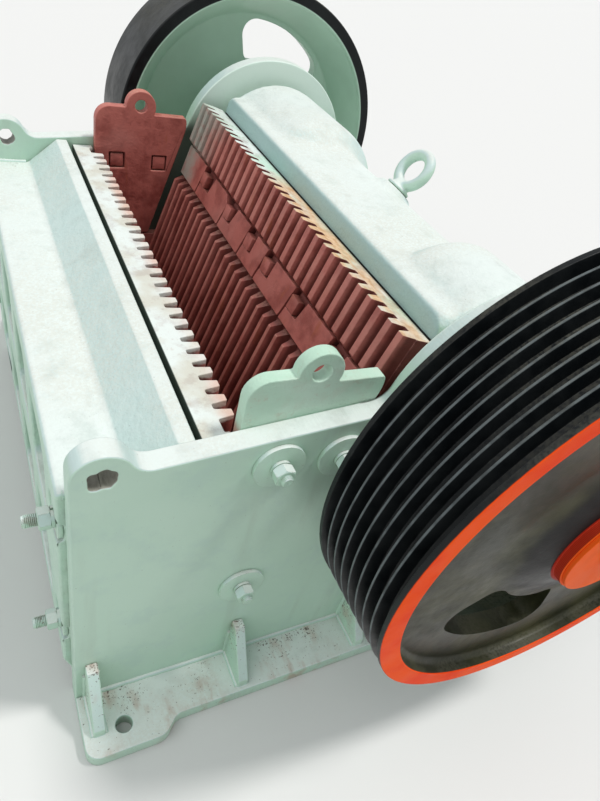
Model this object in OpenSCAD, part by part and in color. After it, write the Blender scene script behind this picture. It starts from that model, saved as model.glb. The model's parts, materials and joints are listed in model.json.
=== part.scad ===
// Single-toggle jaw crusher for fine crushing: wide mouth, toothed jaws,
// plate-sided frame, eccentric shaft with flywheel and grooved pulley.
// Millimetres. X runs from the fixed jaw (-) to the toggle end (+),
// Y along the shaft with the pulley at -Y, Z up from the floor.
// The origin is the centre of the foundation bolts at floor level.

/* [Frame] */
// Length of the side plates
frame_len = 1250; // [1220:5:1300]
// Clear width between the side plates
inner_w = 1260; // [1180:20:1340]
// Thickness of a side plate
plate_t = 44; // [36:1:50]
// Height of the side plate's top edge at the lifting lug
plate_top = 756; // [750:1:765]
// Rise of that edge, in mm for each mm of length
plate_rise = 0.096; // [0.07:0.01:0.12]
// Radius of the plate's round ear about the shaft
ear_r = 277; // [265:1:290]
// Radius of the lifting lug
lug_r = 50; // [44:1:56]
// Radius of the hole in the lifting lug
lug_hole_r = 20; // [14:1:24]
// Thickness of the foot flange
foot_t = 40; // [30:1:50]
// How far the foot flange stands out from the plate
foot_w = 106; // [90:1:120]
// How far its end lobes stand out
lobe_w = 140; // [130:1:160]
// Length of an end lobe
lobe_len = 165; // [150:1:190]
// Radius of a foundation bolt hole
anchor_r = 18; // [14:1:20]
// Foundation bolt spacing along X
anchor_x = 1080; // [1040:5:1100]
// Foundation bolt distance outside the side plate
anchor_out = 88; // [80:1:95]

/* [Front wall] */
// Height of the wall's flat top
wall_top = 685; // [660:5:700]
// Depth of the pockets in its front
pocket_d = 150; // [120:5:160]
// How far the wall stands out in front of the side plates
wall_out = 15; // [10:1:25]

/* [Jaws] */
// Distance from the fixed jaw's tips back to the shaft centre
jaw_reach = 541; // [535:1:545]
// Height of the fixed jaw plate's top
jaw_top = 745; // [735:1:750]
// Height of the jaw plates' lower ends
jaw_low = 105; // [95:5:115]
// Thickness of a jaw plate without its teeth
jaw_t = 45; // [40:1:50]
// Height of a tooth
tooth_h = 32; // [24:1:34]
// Distance from tooth to tooth
tooth_pitch = 40; // [36:2:44]
// Width of a tooth at its tip
tooth_tip = 17; // [14:1:19]
// Width of a tooth at its root
tooth_root = 27; // [24:1:29]
// Feed opening between the tooth tips
mouth_gap = 295; // [285:5:305]
// Height of the movable jaw's tips above the fixed jaw's
jaw_step = 162; // [155:1:170]
// Lean of the movable jaw from the vertical, in degrees
jaw_tilt = 16; // [15:0.5:16.5]
// Thickness of a cheek plate
cheek_t = 28; // [24:1:30]
// Height of the joint between upper and lower cheek plates
cheek_split = 470; // [440:5:500]
// Length of the upper movable jaw plate
upper_len = 140; // [130:1:150]
// Height of the row of clamping wedges
wedge_h = 84; // [78:1:90]
// Number of clamping wedges
wedges = 6; // [5:1:6]

/* [Pitman] */
// Radius of the barrel in the middle
neck_r = 167; // [160:1:175]
// Radius of the barrel over its bearings
hub_r = 210; // [205:1:220]
// Thickness of the wall behind the jaw plates
seat_wall = 60; // [50:1:65]
// Height of the shelf's top above the fixed jaw's top
shelf_up = 193; // [185:1:200]
// Number of ribs on the pitman's back
pitman_ribs = 5; // [4:1:6]

/* [Shaft and wheels] */
// Shaft centre behind the middle of the foundation bolts
shaft_x = 217; // [210:1:225]
// Shaft centre above the floor
shaft_z = 758; // [750:1:765]
// Eccentricity of the shaft
throw = 12; // [8:1:14]
// Radius of the shaft's eccentric part
crank_r = 85; // [80:1:90]
// Radius of the shaft in the frame bearings
journal_r = 75; // [70:1:78]
// Radius of the shaft under the wheels
wheel_seat_r = 64; // [56:1:68]
// Radius of the flywheel and the pulley
wheel_r = 460; // [440:5:470]
// Width of both wheels
wheel_w = 222; // [218:1:230]
// Inner radius of a wheel's rim at its faces
rim_in_r = 423; // [415:1:428]
// Thickness of a wheel's web
web_t = 44; // [36:1:56]
// Depth of the recess on the pulley's outer side
pulley_recess = 30; // [20:1:40]
// Depth of the recess on the flywheel's outer side
fly_recess = 52; // [40:1:60]
// Number of V grooves
grooves = 8; // [6:1:8]
// Distance from groove to groove
groove_pitch = 25.5; // [24:0.5:26]
// Depth of a groove
groove_d = 20; // [16:1:22]
// Sectors of a wheel's web: one stays closed as a counterweight
sectors = 4; // [4:1:5]
// Side plate to flywheel
fly_gap = 66; // [60:1:80]
// Side plate to pulley
pulley_gap = 108; // [100:1:120]

/* [Toggle] */
// Thickness of the toggle plate
toggle_t = 40; // [32:1:42]
// Width of the toggle plate
toggle_w = 960; // [900:10:1000]
// Height of the toggle's front end
toggle_z1 = 165; // [160:1:170]
// Height of the toggle's rear end
toggle_z2 = 262; // [255:1:270]
// Radius of a tension rod
rod_r = 16; // [14:1:18]
// Height of the tension rods
rod_z = 100; // [96:1:104]
// Distance between the tension rods
rod_gap = 600; // [500:20:640]

/* [Hidden] */
$fn = 72;

mint = [0.84, 0.91, 0.87];
oxide = [0.5, 0.23, 0.21];
black = [0.07, 0.08, 0.09];
steel = [0.55, 0.56, 0.57];

fit = 0.3;
gap = 6;

half_in = inner_w / 2;
half_out = half_in + plate_t;
front_x = -frame_len / 2;
rear_x = frame_len / 2;
lug_x = front_x + lug_r;

fixed_x = shaft_x - jaw_reach;
fixed_back = fixed_x - tooth_h - jaw_t;
wall_gap = 14;
wall_back = fixed_back - wall_gap;
wall_front = front_x - wall_out;

tip_x = fixed_x + mouth_gap;
tip_z = jaw_top + jaw_step;
jaw_d = tooth_h + jaw_t;
face_len = (tip_z - jaw_low) / cos(jaw_tilt);

crank_z = shaft_z + throw;
crank_play = 2 * throw + 5;
cheek_in = half_in - cheek_t;
pitman_in = cheek_in - gap;

housing_end = half_out + 86;
cover_t = 15;
collar_t = 30;
hub_start = housing_end + cover_t + 1 + collar_t;
fly_in = half_out + fly_gap;
pulley_in = half_out + pulley_gap;
wheel_hub_r = 122;
rim_low = 352;
bearing_y = pitman_in - 80;

seat_t = 40;
box_back = 40;
toggle_x1 = box_back + seat_t + 8;
block_front = 440;
toggle_x2 = block_front - 8;
nub_r = toggle_t / 2 + 2;

// Helpers

// An outline in X and Z, drawn out along Y from y0 to y1
module slab(y0, y1) {
    translate([0, y1, 0]) rotate([90, 0, 0]) linear_extrude(y1 - y0) children();
}

// The local axis runs along +Y from y, centred on the shaft
module on_shaft(y, up = 0) {
    translate([shaft_x, y, shaft_z + up]) rotate([-90, 0, 0]) children();
}

// A ring about the shaft from y0 to y1
module ring(y0, y1, r_out, r_in, up = 0) {
    on_shaft(y0, up) difference() {
        cylinder(h = y1 - y0, r = r_out);
        translate([0, 0, -1]) cylinder(h = y1 - y0 + 2, r = r_in);
    }
}

module far_side() {
    mirror([0, 1, 0]) children();
}

// The movable jaw's own frame: x back from the tips, z up along them
module on_jaw() {
    translate([tip_x, 0, tip_z]) rotate([0, jaw_tilt, 0]) children();
}

function jaw_point(x, z) = [
    tip_x + x * cos(jaw_tilt) + z * sin(jaw_tilt),
    tip_z - x * sin(jaw_tilt) + z * cos(jaw_tilt)
];

// X of a line parallel to the movable tips and d behind them
function jaw_line(d, z) = tip_x - (tip_z - z) * tan(jaw_tilt) + d / cos(jaw_tilt);

function unit(v) = v / norm(v);

// An arc of radius r in the corner at b between a and c
function corner(a, b, c, r, steps = 8) =
    let (
        u = unit(a - b),
        v = unit(c - b),
        half = acos(u * v) / 2,
        mid = b + unit(u + v) * r / sin(half),
        p = b + u * r / tan(half) - mid,
        q = b + v * r / tan(half) - mid,
        start = atan2(p[1], p[0]),
        turn = (atan2(q[1], q[0]) - start + 540) % 360 - 180
    )
    [for (i = [0 : steps]) mid + r * [cos(start + turn * i / steps), sin(start + turn * i / steps)]];

// A polygon whose corners are [x, y, radius]
module rounded(points) {
    n = len(points);
    xy = [for (p = points) [p[0], p[1]]];
    polygon([
        for (i = [0 : n - 1])
            for (p = points[i][2] > 0
                ? corner(xy[(i + n - 1) % n], xy[i], xy[(i + 1) % n], points[i][2])
                : [xy[i]]) p
    ]);
}

module hex(af, h) {
    cylinder(h = h, r = af / 2 / cos(30), $fn = 6);
}

// Plate washer, spring washer, nut and stud end along +Z from the seat at z = 0
module nut_set(washer_r, stud) {
    cylinder(h = 9, r = washer_r);
    cylinder(h = 15, r = bolt_r + 8);
    translate([0, 0, 14.5]) hex(3 * bolt_r, 21.5);
    cylinder(h = stud - 3, r = bolt_r);
    translate([0, 0, stud - 3]) cylinder(h = 3, r1 = bolt_r, r2 = bolt_r - 2);
}

// Frame

lug_z = plate_top - 3;

function top_edge(x) = plate_top + plate_rise * (x - lug_x - lug_r - 29);

// Centre of a fillet of radius r that touches the top edge and a disc, on the side of the
// disc where x is higher (1) or lower (-1)
function fillet_at(centre, disc_r, r, side) =
    let (
        m = plate_rise,
        s = sqrt(1 + m * m),
        k = top_edge(0) + r * s - centre[1],
        b = m * k - centre[0],
        c = centre * centre - pow(centre[1], 2) + k * k - pow(disc_r + r, 2),
        x = (-b + side * sqrt(b * b - s * s * c)) / (s * s)
    )
    [x, top_edge(x) + r * s];

function arc(centre, r, start, turn, steps) =
    [for (i = [0 : steps]) centre + r * [cos(start + turn * i / steps), sin(start + turn * i / steps)]];

function bearing(from, to) = (atan2(to[1] - from[1], to[0] - from[0]) + 360) % 360;

module plate_outline() {
    lug = [lug_x, lug_z];
    ear = [shaft_x, shaft_z];
    lug_fillet = 40;
    ear_fillet = 45;
    a = fillet_at(lug, lug_r, lug_fillet, 1);
    b = fillet_at(ear, ear_r, ear_fillet, -1);
    down = 360 - atan2(1, plate_rise);
    polygon(concat(
        [[front_x, 0]],
        arc(lug, lug_r, 180, bearing(lug, a) - 180, 16),
        arc(a, lug_fillet, bearing(a, lug), down - bearing(a, lug), 8),
        arc(b, ear_fillet, down, bearing(b, ear) - down, 8),
        arc(ear, ear_r, bearing(ear, b), -20 - bearing(ear, b), 60),
        corner(ear + ear_r * [cos(20), -sin(20)], [rear_x, shaft_z - 312], [rear_x, 0], 50),
        [[rear_x, 0]]
    ));
}

bolt_r = 12;
cheek_bolt_at = [[-276, 714], [-146, 709], [-285, 339]];
spigot_r = 150;
rear_hole = [rear_x - 55, 375];

module side_plate() {
    color(mint) slab(-half_out, -half_in) difference() {
        plate_outline();
        translate([lug_x, lug_z + 1]) circle(lug_hole_r);
        translate(rear_hole) circle(lug_hole_r);
        translate([shaft_x, shaft_z]) circle(spigot_r);
        for (p = cheek_bolt_at) translate(p) circle(bolt_r + fit);
    }
}

// Places of the gussets as shares of the frame's length
gusset_x = [for (share = [0.016, 0.276, 0.532, 0.82, 0.964]) front_x + share * frame_len];

module foot() {
    y0 = -half_out;
    color(mint) difference() {
        union() {
            linear_extrude(foot_t) rounded([
                [front_x, y0, 0],
                [front_x, y0 - lobe_w, 30],
                [front_x + lobe_len, y0 - lobe_w, 40],
                [front_x + lobe_len + 34, y0 - foot_w, 30],
                [rear_x - lobe_len - 34, y0 - foot_w, 30],
                [rear_x - lobe_len, y0 - lobe_w, 40],
                [rear_x, y0 - lobe_w, 30],
                [rear_x, y0, 0]
            ]);
            for (x = gusset_x) translate([x, 0, foot_t]) rotate([90, 0, 90])
                linear_extrude(25) polygon([
                    [y0, 0], [y0 - foot_w + 10, 0], [y0 - foot_w + 10, 22],
                    [y0 - 22, 140], [y0, 140]
                ]);
        }
        for (x = [-anchor_x / 2, anchor_x / 2])
            translate([x, y0 - anchor_out, -1]) cylinder(h = foot_t + 2, r = anchor_r);
    }
}

wall_bolt_at = [[1, 583], [-1, 583], [1, 250], [-1, 250]];
wall_bolt_y = half_in - 40;
wall_seat = wall_front + 12;
ridge_x = wall_back - 29;
ridge_z = jaw_top + 12;

module front_wall() {
    band_x = ridge_x - 82;
    bay = (inner_w - 2 * 105) / 4;
    pocket = bay - 66;
    color(mint) difference() {
        union() {
            slab(-half_in, half_in) rounded([
                [wall_front + 25, 60, 0],
                [wall_front, 140, 30],
                [wall_front, wall_top, 12],
                [band_x, wall_top, 25],
                [ridge_x, ridge_z, 10],
                [wall_back, ridge_z, 5],
                [wall_back, jaw_low - 2, 0],
                [fixed_back + 40, jaw_low - 2, 8],
                [fixed_back + 30, 60, 0]
            ]);
            for (z = [jaw_low + 20, jaw_low + 290, jaw_top - 130])
                translate([wall_back - 1, -half_in + 60, z])
                    cube([wall_gap + 1, inner_w - 120, 60]);
        }
        for (i = [0 : 3], row = [0, 1])
            translate([wall_front - 1, -half_in + 105 + bay * (i + 0.5), 260 + row * 280])
                rotate([90, 0, 90]) linear_extrude(pocket_d) rounded([
                    [-pocket / 2, -98, 35], [pocket / 2, -98, 35],
                    [pocket / 2, 98, 35], [-pocket / 2, 98, 35]
                ]);
        for (p = wall_bolt_at) translate([wall_front - 1, p[0] * wall_bolt_y, p[1]]) rotate([0, 90, 0]) {
            cylinder(h = wall_back - wall_front + 2, r = bolt_r + fit);
            cylinder(h = wall_seat - wall_front + 1, r = 45);
        }
    }
}

rear_face = 520;
rear_low = 175;

module rear_wall() {
    color(mint) difference() {
        slab(-half_in, half_in) rounded([
            [rear_face, rear_low + 5, 0],
            [block_front + 10, rear_low + 5, 0],
            [block_front + 10, rear_low + 30, 0],
            [rear_face, rear_low + 30, 0],
            [rear_face, rear_low + 175, 0],
            [block_front + 10, rear_low + 175, 0],
            [block_front + 10, rear_low + 200, 0],
            [rear_face, rear_low + 215, 0],
            [rear_face, rear_low + 260, 12],
            [rear_face + 45, rear_low + 260, 12],
            [rear_face + 45, rear_low + 205, 8],
            [rear_x - 15, rear_low + 190, 8],
            [rear_x - 15, rear_low, 8],
            [rear_face, rear_low, 0]
        ]);
        for (i = [0 : 4]) translate([rear_face + 45, -half_in + 60 + i * (inner_w - 70) / 5, rear_low + 30])
            cube([100, (inner_w - 70) / 5 - 50, 130]);
    }
}

module adjusting_block() {
    color(mint) difference() {
        translate([block_front, -toggle_w / 2 - 20, rear_low + 30 + fit])
            cube([55, toggle_w + 40, 145 - 2 * fit]);
        translate([toggle_x2, -toggle_w / 2 - 30, toggle_z2]) rotate([-90, 0, 0])
            cylinder(h = toggle_w + 60, r = nub_r + fit);
    }
}

module adjusting_shims() {
    color(steel) for (i = [0 : 3])
        translate([block_front + 55 + i * 6.25, -toggle_w / 2 + 20, rear_low + 32])
            cube([6.25, toggle_w - 40, 138 + (i % 2) * 3]);
}

module toggle_plate() {
    a = atan2(toggle_z2 - toggle_z1, toggle_x2 - toggle_x1);
    len = norm([toggle_x2 - toggle_x1, toggle_z2 - toggle_z1]);
    color(mint) slab(-toggle_w / 2, toggle_w / 2) translate([toggle_x1, toggle_z1]) rotate(a) {
        circle(nub_r);
        translate([len, 0]) circle(nub_r);
        translate([0, -toggle_t / 2]) square([len, toggle_t]);
        translate([len * 0.3, -toggle_t / 2 - 8]) square([len * 0.4, toggle_t + 16]);
    }
}

bar_x = 400;
bar_t = 25;
spring_r = 36;
spring_wire = 8;
spring_len = 92;
cup_r = spring_r + spring_wire + 20;

module tension_bar() {
    color(mint) difference() {
        translate([bar_x, -half_in, 44]) cube([bar_t, inner_w, 112]);
        for (s = [-1, 1]) translate([bar_x - 1, s * rod_gap / 2, rod_z])
            rotate([0, 90, 0]) cylinder(h = bar_t + 2, r = rod_r + 12);
    }
}

module tension_springs() {
    coils = 6;
    step = (spring_len - 2 * spring_wire) / (coils - 1);
    color(steel) for (s = [-1, 1]) translate([bar_x + bar_t, s * rod_gap / 2, rod_z]) rotate([0, 90, 0]) {
        for (i = [0 : coils - 1]) translate([0, 0, spring_wire + i * step])
            rotate_extrude() translate([spring_r, 0]) circle(spring_wire, $fn = 24);
        difference() {
            cylinder(h = spring_len - spring_wire, r = spring_r + 1);
            translate([0, 0, -1]) cylinder(h = spring_len, r = spring_r - 3);
        }
    }
}

// Cheek plates and their bolts

cheek_x = fixed_x - 16;

module cheek_upper_outline() {
    top = jaw_top + 126;
    low = cheek_split + 2;
    eye = [cheek_x + 131, top + 2];
    back = [jaw_line(20, top - 20), top - 20];
    difference() {
        polygon(concat(
            [[cheek_x, low]],
            corner([cheek_x, low], [cheek_x, top], [eye[0], top], 42),
            arc(eye, 44, 183, -210, 30),
            corner([eye[0], back[1]], back, [jaw_line(20, low), low], 38),
            [[jaw_line(20, low), low]]
        ));
        translate(eye + [0, 2]) circle(18);
    }
}

module cheek_lower_outline() {
    rounded([
        [cheek_x, jaw_low + 5, 0],
        [cheek_x, cheek_split - 2, 0],
        [jaw_line(20, cheek_split - 2), cheek_split - 2, 0],
        [jaw_line(20, jaw_low + 5), jaw_low + 5, 0]
    ]);
}

module bolt_pockets(at) {
    for (p = at) translate([p[0], -cheek_in + 1, p[1]]) rotate([90, 0, 0]) {
        translate([-24, -24, 0]) cube([48, 48, 15]);
        cylinder(h = cheek_t + 2, r = bolt_r + fit);
    }
}

module cheek_upper() {
    color(oxide) difference() {
        slab(-half_in, -cheek_in) cheek_upper_outline();
        bolt_pockets([cheek_bolt_at[0], cheek_bolt_at[1]]);
    }
}

module cheek_lower() {
    color(oxide) difference() {
        slab(-half_in, -cheek_in) cheek_lower_outline();
        bolt_pockets([cheek_bolt_at[2]]);
    }
}

module cheek_bolts() {
    color(mint) for (p = cheek_bolt_at) translate([p[0], 0, p[1]]) rotate([90, 0, 0]) {
        translate([-19, -19, cheek_in + 2]) cube([38, 38, 12]);
        translate([0, 0, cheek_in + 10]) cylinder(h = half_out - cheek_in - 5, r = bolt_r);
        translate([0, 0, half_out]) nut_set(50, 46);
    }
}

// Fixed jaw

// Points of a row of n teeth along Y, from root_x out to tip_x
function teeth(n, root_x, tip_x) = [
    for (i = [0 : n - 1])
        let (c = (i - (n - 1) / 2) * tooth_pitch)
        for (p = [
            [root_x, c - tooth_root / 2], [tip_x, c - tooth_tip / 2],
            [tip_x, c + tooth_tip / 2], [root_x, c + tooth_root / 2]
        ]) p
];

module fixed_jaw() {
    n = 2 * floor((cheek_in - tooth_root / 2) / tooth_pitch) + 1;
    root = fixed_back + jaw_t;
    end = half_in - 4;
    color(oxide) difference() {
        union() {
            translate([0, 0, jaw_low]) linear_extrude(jaw_top - jaw_low) polygon(concat(
                [[fixed_back, end], [fixed_back, -end], [root, -end]],
                teeth(n, root, fixed_x),
                [[root, end]]
            ));
            for (s = [-1, 1]) translate([root - 1, s > 0 ? cheek_in + 4 : -end, jaw_top - 90])
                cube([11, end - cheek_in - 4, 90]);
        }
        for (p = wall_bolt_at) translate([fixed_back - 1, p[0] * wall_bolt_y, p[1]])
            rotate([0, 90, 0]) cylinder(h = 18, r = bolt_r + fit);
    }
}

module fixed_jaw_bolts() {
    color(mint) for (p = wall_bolt_at) translate([wall_seat, p[0] * wall_bolt_y, p[1]]) {
        rotate([0, -90, 0]) nut_set(39, 62);
        rotate([0, 90, 0]) cylinder(h = fixed_back - wall_seat + 14, r = bolt_r);
    }
}

// Bearings

module bearing_housing() {
    bolt_ring = 190;
    color(mint) difference() {
        union() {
            ring(half_out, half_out + 30, 215, journal_r + fit);
            ring(half_in - 24, half_out + 1, spigot_r - fit, journal_r + fit);
            on_shaft(half_out + 29) cylinder(h = 57, r = 172);
            ring(half_in - 24, half_in - 6, 185, journal_r + fit);
            for (i = [0 : 11]) on_shaft(half_out + 29) rotate(i * 30 + 15)
                translate([195, 0, 0]) hex(26, 17);
        }
        on_shaft(half_in - 30) cylinder(h = 200, r = journal_r + fit);
    }
}

module bearing_cover() {
    color(mint) {
        ring(housing_end, housing_end + cover_t, 168, journal_r + 3);
        for (i = [0 : 7]) on_shaft(housing_end + cover_t - 1) rotate(i * 45)
            translate([145, 0, 0]) hex(22, 13);
    }
}

// Rotor

hub_out = wheel_w + 13;
near_end = pulley_in + hub_out;
far_end = fly_in + hub_out;

module eccentric_shaft() {
    color(steel) {
        on_shaft(-housing_end - cover_t) cylinder(h = 2 * (housing_end + cover_t), r = journal_r);
        on_shaft(-near_end) cylinder(h = near_end + far_end, r = wheel_seat_r);
        on_shaft(-pitman_in + 6, throw) cylinder(h = 2 * pitman_in - 12, r = crank_r);
        for (s = [-1, 1])
            ring(s * bearing_y - 50, s * bearing_y + 50, crank_r + 15, crank_r - 5, throw);
    }
}

module shaft_collars() {
    color(steel) {
        ring(housing_end + cover_t + 1, hub_start, 105, wheel_seat_r);
        ring(-hub_start - pulley_gap + fly_gap, -housing_end - cover_t - 1, 105, wheel_seat_r);
    }
}

module shaft_end_plates() {
    color(mint) {
        on_shaft(far_end) end_plate();
        far_side() on_shaft(near_end) end_plate();
    }
}

module end_plate() {
    cylinder(h = 8, r = wheel_hub_r - 3);
    for (i = [0 : 2]) rotate(i * 120) translate([30, 0, 7]) hex(30, 16);
}

// Half section of a wheel: radius and distance out from its inner face
module wheel_section(hub_in, recess) {
    web_out = wheel_w - recess;
    web_low = web_out - web_t;
    difference() {
        union() {
            square([wheel_r - 6, wheel_w]);
            square([wheel_hub_r, hub_out]);
        }
        // Outer recess, down the boss's flare to the web
        translate([0, web_out]) rounded([
            [wheel_hub_r, recess + 20, 0],
            [wheel_hub_r, recess - 4, 2],
            [wheel_hub_r + 8, recess - 4, 3],
            [wheel_hub_r + 86, 0, 200],
            [rim_in_r, 0, 14],
            [rim_in_r, recess + 20, 0]
        ]);
        // Inner recess, out along the rim's taper
        rounded([
            [wheel_hub_r + 12, web_low, 30],
            [rim_low, web_low, 12],
            [rim_in_r - 4, 14, 20],
            [rim_in_r, -1, 0],
            [wheel_hub_r + 12, -1, 0]
        ]);
        translate([0, -1]) square([wheel_hub_r + 20, hub_in + 1]);
        translate([-1, -1]) square([wheel_seat_r + 1, wheel_w + 60]);
    }
}

// The rim's outer part in the half section, with its rounded corners
module rim(round_r) {
    translate([wheel_r - 30, 0]) rounded([
        [0, 0, 0], [30, 0, round_r], [30, wheel_w, round_r], [0, wheel_w, 0]
    ]);
}

// A window in one sector of the web, with its arcs in steps and round corners
module window(half_angle) {
    r0 = 208;
    r1 = 338;
    function polar(r, a, round_r) = [r * cos(a), r * sin(a), round_r];
    rounded([
        polar(r1, -half_angle, 46),
        for (i = [-6 : 6]) polar(r1, i * (half_angle - 10) / 6, 0),
        polar(r1, half_angle, 46),
        polar(r0, half_angle - 3, 36),
        for (i = [-3 : 3]) polar(r0, -i * (half_angle - 17) / 3, 0),
        polar(r0, 3 - half_angle, 36)
    ]);
}

module wheel_windows(recess) {
    for (i = [-1 : sectors - 3]) rotate(24 + i * 360 / sectors)
        translate([0, 0, wheel_w - recess - web_t - 10]) linear_extrude(web_t + 20)
            window(180 / sectors - 13);
}

module flywheel() {
    color(black) on_shaft(fly_in) difference() {
        rotate_extrude() {
            wheel_section(hub_start - fly_in, fly_recess);
            rim(6);
        }
        wheel_windows(fly_recess);
    }
}

module pulley() {
    land = (wheel_w - (grooves - 1) * groove_pitch) / 2;
    half_top = 11;
    half_low = 4.5;
    color(black) far_side() on_shaft(pulley_in) difference() {
        rotate_extrude() difference() {
            union() {
                wheel_section(hub_start + pulley_gap - fly_gap - pulley_in, pulley_recess);
                rim(3);
            }
            for (i = [0 : grooves - 1]) translate([wheel_r, land + i * groove_pitch]) polygon([
                [1, -half_top - 0.5], [1, half_top + 0.5], [-groove_d, half_low], [-groove_d, -half_low]
            ]);
        }
        wheel_windows(pulley_recess);
    }
}

// Pitman

module barrel_section() {
    near = -380;
    far = 282;
    rounded([
        [0, -pitman_in, 0],
        [hub_r, -pitman_in, 8],
        [hub_r, near, 38],
        [neck_r, near + 43, 42],
        [neck_r, far - 77, 70],
        [hub_r, far, 60],
        [hub_r, pitman_in, 8],
        [0, pitman_in, 0]
    ]);
}

module pitman_bore() {
    on_shaft(-pitman_in - 1, throw) cylinder(h = 2 * pitman_in + 2, r = crank_r + crank_play + 1);
    for (s = [-1, 1]) on_shaft(s > 0 ? pitman_in - 135 : -pitman_in - 1, throw)
        cylinder(h = 136, r = race_r);
}

race_r = 152;
shelf_z = jaw_top + shelf_up;
eye_lean = 34;
pad_r = 52;

// Side view of the casting's wall behind the jaw plates and its box for the toggle seat
module pitman_wall() {
    x0 = jaw_d - 5;
    lip = jaw_point(jaw_d - 40, -face_len + 5);
    toe = jaw_point(jaw_d - 34, -face_len - 34);
    rounded([
        concat(jaw_point(x0, -40), 0),
        concat(jaw_point(x0, -face_len + 5), 0),
        concat(lip, 0),
        concat(toe, 8),
        [jaw_point(jaw_d, -face_len - 34)[0] + 60, rod_z - 34, 10],
        [box_back, rod_z - 34, 12],
        [box_back, toggle_z1 + 70, 20],
        concat(jaw_point(jaw_d + seat_wall, -face_len + 260), 60),
        concat(jaw_point(jaw_d + seat_wall, -120), 0)
    ]);
}

// Shelf between the movable jaw's top and the barrel, with rounded ends
module pitman_shelf() {
    intersection() {
        slab(-pitman_in, pitman_in) polygon([
            jaw_point(jaw_d - 6, -120),
            jaw_point(jaw_d - 6, 40),
            [jaw_point(jaw_d, 0)[0], shelf_z],
            [shaft_x - 20, crank_z + neck_r - 0.5],
            [shaft_x, crank_z],
            [shaft_x - 60, crank_z - 120]
        ]);
        translate([-100, 0, 0]) rotate([90, 0, 90]) linear_extrude(500) rounded([
            [-pitman_in, 500, 0], [pitman_in, 500, 0],
            [pitman_in, shelf_z + 9, 55], [-pitman_in, shelf_z + 9, 55]
        ]);
    }
}

module pitman_rib() {
    rounded([
        concat(jaw_point(jaw_d + 30, -90), 0),
        [shaft_x + 20, crank_z - 60, 0],
        [shaft_x + 118, crank_z - 118, 0],
        [box_back + 95, 400, 200],
        [box_back - 6, 250, 30],
        [box_back - 40, 150, 0],
        concat(jaw_point(jaw_d + 30, -face_len + 60), 0)
    ]);
}

// Everything in front of the jaw plates' seat and the shelf's front
module jaw_space() {
    shelf = jaw_point(jaw_d, 0);
    polygon([
        jaw_point(jaw_d, -face_len - fit),
        shelf,
        [shelf[0] + 3, shelf_z - 12],
        [shelf[0] + 7, shelf_z - 4],
        [shelf[0] + 17, shelf_z + 4],
        [shelf[0] + 17, shelf_z + 60],
        [shelf[0] - 300, shelf_z + 60],
        jaw_point(-300, -face_len - fit)
    ]);
}

module on_eye() {
    on_shaft(0, throw) rotate([90, 0, 0]) rotate([0, eye_lean, 0]) children();
}

module pitman() {
    rib_y = pitman_in - 30;
    color(mint) difference() {
        union() {
            on_shaft(0, throw) rotate_extrude() barrel_section();
            pitman_shelf();
            slab(-pitman_in, pitman_in) pitman_wall();
            for (i = [0 : pitman_ribs - 1])
                translate([0, -rib_y + i * 2 * rib_y / (pitman_ribs - 1), 0])
                    slab(-22, 22) pitman_rib();
            on_eye() cylinder(h = neck_r + 12, r = pad_r);
            for (s = [-1, 1], e = [-36, 18]) translate([0, s * rod_gap / 2 + e, 0])
                slab(0, 18) rounded([
                    [box_back - 15, rod_z - 28, 0], [box_back + 48, rod_z - 28, 22],
                    [box_back + 48, rod_z + 28, 22], [box_back - 15, rod_z + 34, 0]
                ]);
        }
        pitman_bore();
        slab(-half_in, half_in) jaw_space();
        on_eye() translate([0, 0, neck_r - 30]) cylinder(h = 60, r = 15 + fit);
        for (s = [-1, 1]) translate([box_back + 24, s * rod_gap / 2 - 45, rod_z])
            rotate([-90, 0, 0]) cylinder(h = 90, r = 10 + fit);
        wedge_bolt_places() cylinder(h = 40, r = 12 + fit, center = true);
    }
}

module pitman_bearings() {
    color(steel) for (s = [-1, 1])
        ring(s * bearing_y - 50, s * bearing_y + 50, race_r, crank_r + 15 + crank_play, throw);
}

module pitman_end_covers() {
    color(mint) for (s = [-1, 1])
        ring(s * (pitman_in + 2.5) - 2.5, s * (pitman_in + 2.5) + 2.5, 200, journal_r + throw + 8, throw);
}

module pitman_lifting_eye() {
    bar_r = 14.5;
    eye_r = 46;
    color(mint) on_eye() {
        translate([0, 0, neck_r - 25]) cylinder(h = 45, r = 15);
        translate([0, 0, neck_r + 12]) cylinder(h = 8, r = 35);
        translate([0, 0, neck_r + 19]) cylinder(h = 16, r1 = 27, r2 = 16);
        translate([0, 0, neck_r + 75]) rotate([0, 90, 0]) rotate_extrude()
            translate([eye_r, 0]) circle(bar_r, $fn = 32);
    }
}

// Movable jaw plates, wedges and bolts

wedge_gap = 3;
wedge_face = 15;
lower_top = -upper_len - wedge_h;

module jaw_piece(z0, z1) {
    n = 2 * floor((pitman_in - tooth_root / 2) / tooth_pitch + 0.5);
    translate([0, 0, z0]) linear_extrude(z1 - z0) polygon(concat(
        [[jaw_d, -pitman_in], [tooth_h, -pitman_in]],
        teeth(n, tooth_h, 0),
        [[tooth_h, pitman_in], [jaw_d, pitman_in]]
    ));
}

module jaw_upper() {
    color(oxide) on_jaw() difference() {
        jaw_piece(-upper_len, 0);
        // The lower ends of the teeth are cut back to clear the wedges
        translate([-1, -pitman_in - 1, -upper_len - 1])
            rotate([0, -30, 0]) translate([-30, 0, -30]) cube([50, 2 * pitman_in + 2, 30]);
    }
}

module jaw_lower() {
    color(oxide) on_jaw() difference() {
        jaw_piece(-face_len, lower_top);
        translate([0, -pitman_in - 1, lower_top - 22]) rotate([0, -35, 0])
            translate([-60, 0, 0]) cube([120, 2 * pitman_in + 2, 80]);
    }
}

wedge_w = 2 * pitman_in / wedges;
notch_w = 66;
notch_h = 47;

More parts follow.
